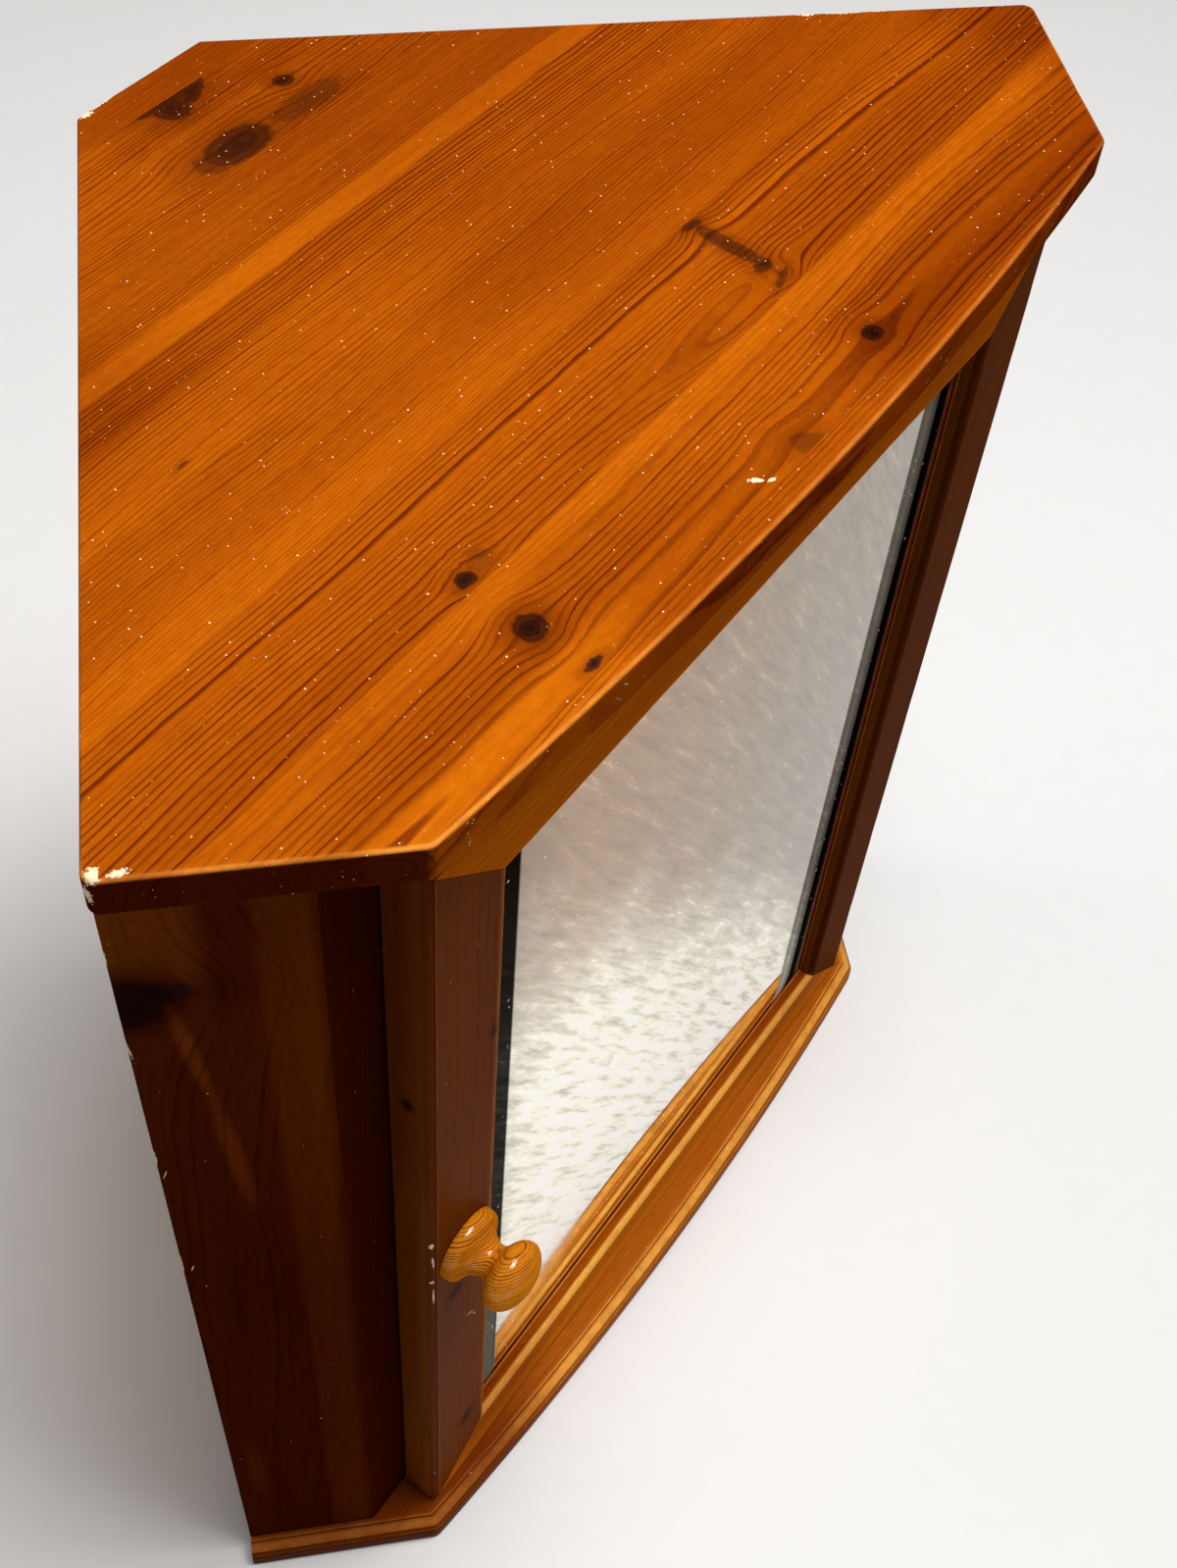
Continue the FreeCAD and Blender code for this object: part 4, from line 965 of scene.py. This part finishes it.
def member_section(sizes, outer_wear, sight_wear):
    """The door frame's section: (distance in from the outer side, depth behind the face, wear and painted light) rows.
    """
    radius, quirk, sight = sizes.outer_round / MM, sizes.quirk / MM, sizes.sight_round / MM
    width, rebate, floor = MEMBER_WIDTH, 8, 8.5
    # The third number is wear with a painted highlight above zero and painted shade below: on the back of the outer
    # side, in the quirk, and down the inner side into the rebate.
    rows = [(0, DOOR_THICKNESS, -0.25), (0, 12, -0.2), (0, radius + quirk + 1, 0.1)]
    for i, (s, c) in enumerate(quarter(6)):
        rows.append((radius * (1 - c), quirk + radius * (1 - s), outer_wear * (1 if 0 < i < 6 else 0.6)))
    rows += [(radius + 0.15, quirk + 0.15, -0.8), (radius + 0.35, quirk * 0.5, -0.3), (radius + 0.6, 0.06, 0.6),
             (radius + 1.1, 0, 0.1), (radius + 2.5, 0, 0), (width / 2, 0, 0), (width - sight - 1.5, 0, 0)]
    for i, (s, c) in enumerate(quarter(8)):
        rows.append((width - sight * (1 - s), sight * (1 - c), sight_wear * (0.6, 1, 0.3)[(i > 0) + (i > 7)]))
    return rows + [(width, sight + 0.4, 0), (width, 7, -0.2), (width, 7.2, 0.9), (width, 7.8, 0.9),
                   (width, floor - 0.4, -1), (width - 0.2, floor, -1), (width - rebate, floor, 0),
                   (width - rebate, DOOR_THICKNESS, 0)]


def bruised(point, wear):
    """A point on the door's frame, pushed in a little where the wood is bruised."""
    x, y, z = point
    hit = noise.noise(Vector((x * 0.05, y * 0.2 + 4, z * 0.05))) - 0.22
    fine = noise.noise(Vector((x * 0.25, y * 0.3, z * 0.25))) * 0.25
    return x, y + max(0, hit + fine) * 0.5 * wear, z


def member(name, at, outer_wear=1, sight_wear=1, **finish):
    """A mitred member of the door's frame; at turns (share of the length, way in, depth, gap) into a place."""
    sizes = bpy.context.scene.cabinet_door
    material = pine_material(name.replace("_", " ") + " pine", dust=0.05, **finish)
    rows, count, gap = member_section(sizes, outer_wear, sight_wear), 96, sizes.mitre_gap / MM
    rings = [[at(step / count, inwards, depth, gap) for inwards, depth, worn in rows] for step in range(count + 1)]
    wear = [worn for inwards, depth, worn in rows]
    rings = [[bruised(*row) for row in zip(ring, wear)] for ring in rings]
    wooden("door_" + name + "_wood", "door_" + name, "door", rings, wear * (count + 1), material, 32)


class CABINET_OT_door_frame(bpy.types.Operator):
    """Makes the four mitred members of the door's frame"""
    bl_idname = "cabinet.door_frame"
    bl_label = "Door Frame"

    def execute(self, context):
        def stile(side):
            def at(share, inwards, depth, gap):
                low, high = DOOR_BOTTOM + inwards + gap, DOOR_TOP - inwards - gap
                return side * (DOOR_HALF_WIDTH - inwards), DOOR_FACE + depth, low + (high - low) * share
            return at

        def rail(edge, rise):
            def at(share, inwards, depth, gap):
                half = DOOR_HALF_WIDTH - inwards - gap
                return -half + 2 * half * share, DOOR_FACE + depth, edge + rise * inwards
            return at

        # The left stile takes the shaded stile pine, painted shade, and its outer round is darkened with a weight
        # below zero: painted shade.
        member("left_stile", stile(-1), -0.4, centre=(-172.7, DOOR_FACE, 295), order="ZXY", seed=4.4,
               ring_width=0.0042, taper=0.02, stain="stile_pine stile_late_wood", lines=0.7, shine=0.0018, rub=0.4,
               patches=((-300, 300, -40, -18.6, 1, 1, 1.1), (110, 300, -18, 40, 60, 1, 0.88)),
               knots=((146, 15.7, 4.5, 2.8, 0, 0.6, 0.8), (-40, -5.3, 5, 4, 0, 0.6, 0.8),
                      (-209, 4.7, 5.5, 4.6, 0, 0.7, 0.8), (132, -19.5, 2.8, 9, 0, 1, 0, 10.6, 2.2)),
               spots=((27, -18.6, 1.2, 2.6, 0.8, 2, 0), (11, -18.2, 1, 7, 0.4, 2, 0.05),
                      (-7, -18.6, 1.2, 1.6, 0.8, 2, 0), (-21, -18.2, 1, 8, 0.4, 2, 0),
                      (-84, 5, 0, 4, 0.35, 1, 0.9), (-90, 8, 0, 2.2, 0.4, 1, 0.6),
                      (-262, 6.7, 0, 3.4, 0.6, 1, 0.7), (-269, 2, 0, 2.4, 0.6, 1, 0.5)))
        # The right stile's darker stain is painted shade, and its sight round is darkened with a weight below zero: a
        # painted dark reflection.
        member("right_stile", stile(1), 1, -0.75, centre=(172.7, DOOR_FACE, 295), order="ZXY", seed=6.1,
               ring_width=0.004, taper=0.02, stain=((0.108, 0.0235, 0.002), (0.07, 0.014, 0.0015)), lines=0.6,
               shine=0.0004, rub=0.25, patches=((-300, 300, -40, -19.4, 0.3, 1, 1.5),))
        # The bottom rail's rubbed lip and arrises take the worn and highlit pine: wear with a painted highlight.
        member("bottom_rail", rail(DOOR_BOTTOM, 1), centre=(0, DOOR_FACE, 38), order="XZY", seed=8.8,
               ring_width=0.003, lines=0.7, stain="rail_pine rail_late_wood", worn="gilded_pine", shine=0.002,
               rub=1.3, patches=((-80, 60, -40, 60, 60, 1, 1.25), (-300, 300, 19.25, 40, 0.4, 1, 0.62),
                                 (-300, 300, -40, -9, 60, 1, 1.2), (-300, -130, -40, 19, 60, 1, 0.84),
                                 (-300, 300, 6, 19, 40, 1, 0.86)))
        member("top_rail", rail(DOOR_TOP, -1), centre=(0, DOOR_FACE, 553), order="XZY", seed=9.6,
               ring_width=0.0032, lines=0.6, stain="rail_pine rail_late_wood", shine=0, rub=0.3,
               patches=((-60, 250, -60, 60, 90, 1, 0.86),))
        return {"FINISHED"}


class CABINET_OT_knob(bpy.types.Operator):
    """Turns the wooden knob on the left stile"""
    bl_idname = "cabinet.knob"
    bl_label = "Knob"

    def execute(self, context):
        sizes = context.scene.cabinet_knob
        neck, head, count = sizes.neck_radius / MM, sizes.head_radius / MM, sizes.sides
        foot, middle, rise = 16.6, 23.6, 8.7
        # Radius and distance out from the door's face, from the spigot over the base and the neck to the head
        rows = [(0.01, -11.9), (4.95, -11.9), (4.95, 0), (15.2, 0), (15.6, 0.15), (15.8, 0.6), (15.8, 2.6),
                (15.7, 3.4), (15.4, 4.4), (14.9, 5.3), (14.2, 5.95), (13.5, 6.3), (13.15, 6.4), (13, 6.5),
                (12.4, 6.8), (10.6, 7.9), (9.1, 9.4), (8, 11.3), (neck + 0.1, 12.9), (neck, 14),
                (neck + 0.35, 15), (neck + 1, 15.9)]
        start = math.degrees(math.asin((foot - middle) / rise))
        rows += [(head * math.cos(math.radians(a)), middle + rise * math.sin(math.radians(a)))
                 for a in np.linspace(start, 89.6, 34)]
        rings = [[(KNOB_AXIS[0] + radius * math.cos(FULL_TURN * i / count), DOOR_FACE - out,
                   KNOB_AXIS[1] + radius * math.sin(FULL_TURN * i / count)) for i in range(count)]
                 for radius, out in rows]
        material = pine_material(
            "knob pine", centre=(-172.7, -150, 295), order="XZY", seed=2, pith=0.4, under=-0.22,
            ring_width=0.00115, taper=-0.3, waviness=0.0006, lines=1.1,
            stain=((0.73, 0.235, 0.009), (0.11, 0.016, 0.002)), rub=0, dust=0, gloss=0.1, coat=0.9, shine=0)
        wooden("knob_wood", "door_knob", "door", rings, None, material, 50)
        return {"FINISHED"}


# Screws of the hinges, repeated by a geometry tree

def screw_tree(material):
    """A tree that puts a cross-slotted screw, driven along -Z of each point, on every point of its mesh."""
    tree = bpy.data.node_groups.new("cross-slotted screws", "GeometryNodeTree")
    for label, kind, default in (
            ("Geometry", "Geometry", None), ("Head Radius", "Float", 0.0026), ("Head Height", "Float", 0.0004),
            ("Slot Width", "Float", 0.0007), ("Shank Radius", "Float", 0.0015), ("Shank Length", "Float", 0.012),
            ("Turn Seed", "Int", 4), ("Facing", "Vector", (math.pi / 2, 0, 0))):
        socket = tree.interface.new_socket(label, in_out="INPUT", socket_type="NodeSocket" + kind)
        if default is not None:
            socket.default_value = default
    tree.interface.new_socket("Geometry", in_out="OUTPUT", socket_type="NodeSocketGeometry")
    given, wanted = Step(tree.nodes.new("NodeGroupInput")), Step(tree.nodes.new("NodeGroupOutput"))
    radius, deep, slot_width = given["Head Radius"], given["Head Height"], given["Slot Width"]
    head = put("GeometryNodeMeshCylinder", {"Vertices": 28, "Radius": radius, "Depth": deep})["Mesh"]
    long = radius * 1.25
    slots = [put("GeometryNodeMeshCube", {"Size": combined(x, y, deep)})["Mesh"]
             for x, y in ((long, slot_width), (slot_width, long))]
    for slot in slots:
        raised = put("GeometryNodeTransform", {"Geometry": slot, "Translation": combined(z=deep * 0.5)})[0]
        head = put("GeometryNodeMeshBoolean", {"Mesh 1": head, "Mesh 2": raised}, operation="DIFFERENCE")[0]
    shank = put("GeometryNodeMeshCone", {
        "Vertices": 14, "Radius Top": given["Shank Radius"] * 0.2, "Radius Bottom": given["Shank Radius"],
        "Depth": given["Shank Length"]})["Mesh"]
    shank = put("GeometryNodeTransform", {"Geometry": shank, "Rotation": (math.pi, 0, 0),
                                          "Translation": combined(z=deep * -0.5)})[0]
    whole = put("GeometryNodeJoinGeometry", tree=tree)
    whole[0] = head
    whole[0] = shank
    turned = put("FunctionNodeRandomValue", {"Seed": given["Turn Seed"], 2: 0, 3: math.pi / 2}, data_type="FLOAT")
    spin = combined(z=turned[1])
    placed = put("GeometryNodeInstanceOnPoints", {
        "Points": given["Geometry"], "Instance": whole[0], "Rotation": given["Facing"]})[0]
    placed = put("GeometryNodeRotateInstances", {"Instances": placed, "Rotation": spin})[0]
    real = put("GeometryNodeRealizeInstances", {"Geometry": placed})[0]
    wanted["Geometry"] = put("GeometryNodeSetMaterial", {"Geometry": real, "Material": material})[0]
    return tree


def screws(name, spots, facing, sizes, material):
    """Cross-slotted screws on the given spots, made by the tree and kept as a plain mesh."""
    seeds = bpy.data.meshes.new(name + "_spots")
    seeds.from_pydata([tuple(c * MM for c in spot) for spot in spots], [], [])
    maker = link(bpy.data.objects.new(name + "_maker", seeds))
    tree = screw_tree(material)
    modifier = maker.modifiers.new("screws", "NODES")
    modifier.node_group = tree
    places = {item.name: item.identifier for item in tree.interface.items_tree if item.in_out == "INPUT"}
    for label, value in {"Head Radius": sizes.screw_head_radius, "Slot Width": sizes.slot_width,
                         "Turn Seed": sizes.turn_seed, "Facing": facing}.items():
        modifier[places[label]] = value
    bpy.context.view_layer.update()
    graph = bpy.context.evaluated_depsgraph_get()
    mesh = bpy.data.meshes.new_from_object(maker.evaluated_get(graph))
    bpy.data.objects.remove(maker)
    return link(bpy.data.objects.new(name, mesh))


def screw_spots(node, reach):
    """Middles of the screws' heads, from where the CAD screws are: one at each end of both leaves."""
    low, high = (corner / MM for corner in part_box(node))
    radius, sunk, middle = 2.6, 0.2, (DOOR_BOTTOM + DOOR_TOP) / 2
    hinge_height, hinge_inset, door_leaf_apart = 60, 75, 13.5
    leaf_foot = DOOR_BOTTOM + hinge_inset - hinge_height / 2
    x = (low.x + high.x) / 2
    face = low.y + sunk if reach > 0 else high.y - sunk
    far = abs(low.z + radius - middle)
    apart = hinge_height - 2 * (low.z + radius - leaf_foot) if reach > 0 else door_leaf_apart
    return [(x, face, middle + side * h) for side in (-1, 1) for h in (far, far - apart)]


def dress(finish, *nodes):
    """Gives CAD nodes their finish."""
    for node in nodes:
        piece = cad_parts.get(node)
        if piece is None:
            raise ValueError("the frame has no node named " + node)
        piece.data.materials.clear()
        piece.data.materials.append(finish)


class CABINET_OT_hinges(bpy.types.Operator):
    """Finishes the two hinges and puts in their screws"""
    bl_idname = "cabinet.hinges"
    bl_label = "Hinges"

    def execute(self, context):
        sizes = context.scene.cabinet_hinges
        brass = metal_material("hinge brass", (0.62, 0.42, 0.16), 0.34)
        dress(brass, *(level + part for level in ("lower", "upper")
                       for part in ("_hinge_frame_leaf", "_hinge_door_leaf", "_hinge_pin")))
        for node, name, body, reach in (("hinge_frame_screws", "frame_screw_heads", "carcass", 1),
                                        ("hinge_door_screws", "door_screw_heads", "door", -1)):
            piece = screws(name, screw_spots(node, reach), (reach * math.pi / 2, 0, 0), sizes, brass)
            finish_piece(piece, body, "hinge_brass", node)
        return {"FINISHED"}


class CABINET_OT_mirror(bpy.types.Operator):
    """Finishes the bevelled mirror, its backing board and its beads"""
    bl_idname = "cabinet.mirror"
    bl_label = "Mirror"

    def execute(self, context):
        dress(mirror_material(), "door_mirror")
        dress(plain_material("hardboard", (0.22, 0.12, 0.06), 0.7, 900, 0.25, 0.0002), "mirror_backing_board")
        dress(pine_material("bead pine", centre=(0, -119, 295), order="ZXY", seed=1.1, dust=0, gloss=0.5,
                            stain=((0.5, 0.26, 0.1), (0.3, 0.13, 0.04))), "backing_beads")
        return {"FINISHED"}


class CABINET_OT_inside(bpy.types.Operator):
    """Finishes the backs, shelves, battens, rails, tenons and the magnetic catch"""
    bl_idname = "cabinet.inside"
    bl_label = "Inside and Back"

    def execute(self, context):
        def bare_pine(name, centre, seed, *nodes, **finish):
            dress(pine_material(name, centre=centre, seed=seed, stain=((0.56, 0.27, 0.09), (0.34, 0.13, 0.035)),
                                gloss=0.5, dust=0.02, **finish), *nodes)

        for side, label in ((1, "right"), (-1, "left")):
            turn = math.radians(45 * side)
            bare_pine(label + " back pine", (side * 148, 37, 300), 3 + side, label + "_back_panel", order="ZXY",
                      turn=turn, staves=(0.082, -0.16))
            bare_pine(label + " hanging rail pine", (side * 130, 20, 567), 5 + side, label + "_hanging_rail",
                      order="XZY", turn=turn)
        bare_pine("corner strip pine", (0, 146, 300), 6.6, "corner_back_strip", order="ZXY")
        for level, height in (("lower", 208), ("upper", 396)):
            bare_pine(level + " shelf pine", (0, 0, height), height * 0.01, level + "_shelf", staves=(0.07, -0.11))
        bare_pine("batten pine", (0, 0, 290), 2.2, "shelf_battens")
        dress(pine_material("tenon wood", centre=(0, 0, 300), order="ZXY", seed=0.4, gloss=0.6, dust=0, lines=0.4,
                            stain=((0.6, 0.42, 0.24), (0.45, 0.28, 0.14))),
              "top_tenons", "bottom_tenons", "mitre_tenons")
        dress(plain_material("brown plastic", (0.16, 0.08, 0.045), 0.45, 700, 0.12), "catch_housing")
        dress(metal_material("catch steel", (0.6, 0.6, 0.58), 0.3, 140), "catch_pole_plates", "strike_plate")
        dress(plain_material("dark magnet", (0.06, 0.06, 0.065), 0.6, 900, 0.3), "catch_magnet")
        return {"FINISHED"}


# Stage, camera and lights

def soft_light(name, place, target, size, strength):
    """A square soft light at a place, facing a target."""
    lamp = bpy.data.lights.new(name, "AREA")
    lamp.shape = "SQUARE"
    lamp.size = size
    lamp.energy = strength
    holder = link(bpy.data.objects.new(name, lamp))
    holder.location = place
    holder.rotation_euler = (Vector(target) - Vector(place)).to_track_quat("-Z", "Y").to_euler()


class CABINET_OT_stage(bpy.types.Operator):
    """Makes the floor, the soft lights and the camera at the photograph's angle"""
    bl_idname = "cabinet.stage"
    bl_label = "Stage"

    def execute(self, context):
        scene = context.scene
        sizes = scene.cabinet_stage
        mesh = bpy.data.meshes.new("floor")
        reach = 14
        mesh.from_pydata([(x * reach, y * reach, 0) for x, y in ((-1, -1), (1, -1), (1, 1), (-1, 1))], [],
                         [(0, 1, 2, 3)])
        material, shader, place = new_material("pale floor")
        grit = speckle(place, 60, 3)
        shader["Base Color"] = mix_colour(grit, [c * 0.97 for c in sizes.floor_colour], sizes.floor_colour)
        shader["Roughness"] = 0.9
        shader["Specular IOR Level"] = 0.1
        mesh.materials.append(material)
        floor = link(bpy.data.objects.new("floor", mesh))

        middle = (0.05, -0.05, 0.3)
        soft_light("key light", (0.3, -0.5, 2.8), middle, 1.3, sizes.key_power)
        soft_light("key core", (0.3, -0.5, 2.75), middle, 0.45, sizes.core_power)
        soft_light("rear light", (-1.3, 1.7, 2.2), (0, 0, 0.3), 1.2, sizes.rear_power)
        world = bpy.data.worlds.new("even light")
        world.use_nodes = True
        sky = Step(world.node_tree.nodes["Background"])
        sky["Color"] = (1, 1, 1, 1)
        sky["Strength"] = sizes.sky_strength
        scene.world = world
        scene.view_settings.view_transform = "Standard"

        camera = bpy.data.cameras.new("camera")
        camera.sensor_width = 36
        camera.lens = 45.33
        camera.shift_x = 0.00458
        camera.shift_y = -0.0805
        camera.clip_start = 0.05
        right = Vector((0.5830537, -0.81066775, 0.05353679))
        down = Vector((-0.6041474, -0.47669023, -0.63857054))
        ahead = Vector((0.54318901, 0.33997681, -0.76769882))
        turn = Matrix((right, -down, -ahead)).transposed().to_4x4()
        turn.translation = (-0.42748, -0.32644, 1.03499)
        scene.camera = link(bpy.data.objects.new("camera", camera))
        scene.camera.matrix_world = turn
        return {"FINISHED"}


OPERATORS = (CABINET_OT_stage, CABINET_OT_boards, CABINET_OT_uprights, CABINET_OT_door_frame, CABINET_OT_knob,
             CABINET_OT_hinges, CABINET_OT_mirror, CABINET_OT_inside)
SETTINGS = {
    "cabinet_finish": FinishSettings, "cabinet_boards": BoardSettings, "cabinet_door": DoorSettings,
    "cabinet_knob": KnobSettings, "cabinet_hinges": HingeSettings, "cabinet_stage": StageSettings,
}


class CABINET_PT_pieces(bpy.types.Panel):
    """Lists the cabinet's operators and settings"""
    bl_label = "Corner Cabinet"
    bl_idname = "CABINET_PT_pieces"
    bl_space_type = "VIEW_3D"
    bl_region_type = "UI"
    bl_category = "Cabinet"

    def draw(self, context):
        for operator in OPERATORS:
            self.layout.operator(operator.bl_idname)
        for name, kind in SETTINGS.items():
            box = self.layout.box()
            box.label(text=kind.__doc__)
            for field in kind.__annotations__:
                box.prop(getattr(context.scene, name), field)


CLASSES = (*SETTINGS.values(), *OPERATORS, CABINET_PT_pieces)


def register():
    for kind in CLASSES:
        bpy.utils.register_class(kind)
    for name, kind in SETTINGS.items():
        setattr(bpy.types.Scene, name, bpy.props.PointerProperty(type=kind))


def unregister():
    for name in SETTINGS:
        delattr(bpy.types.Scene, name)
    for kind in reversed(CLASSES):
        bpy.utils.unregister_class(kind)


def main():
    register()
    for operator in OPERATORS:
        group, name = operator.bl_idname.split(".")
        getattr(getattr(bpy.ops, group), name)()
    bpy.context.view_layer.update()


if __name__ == "__main__":
    main()
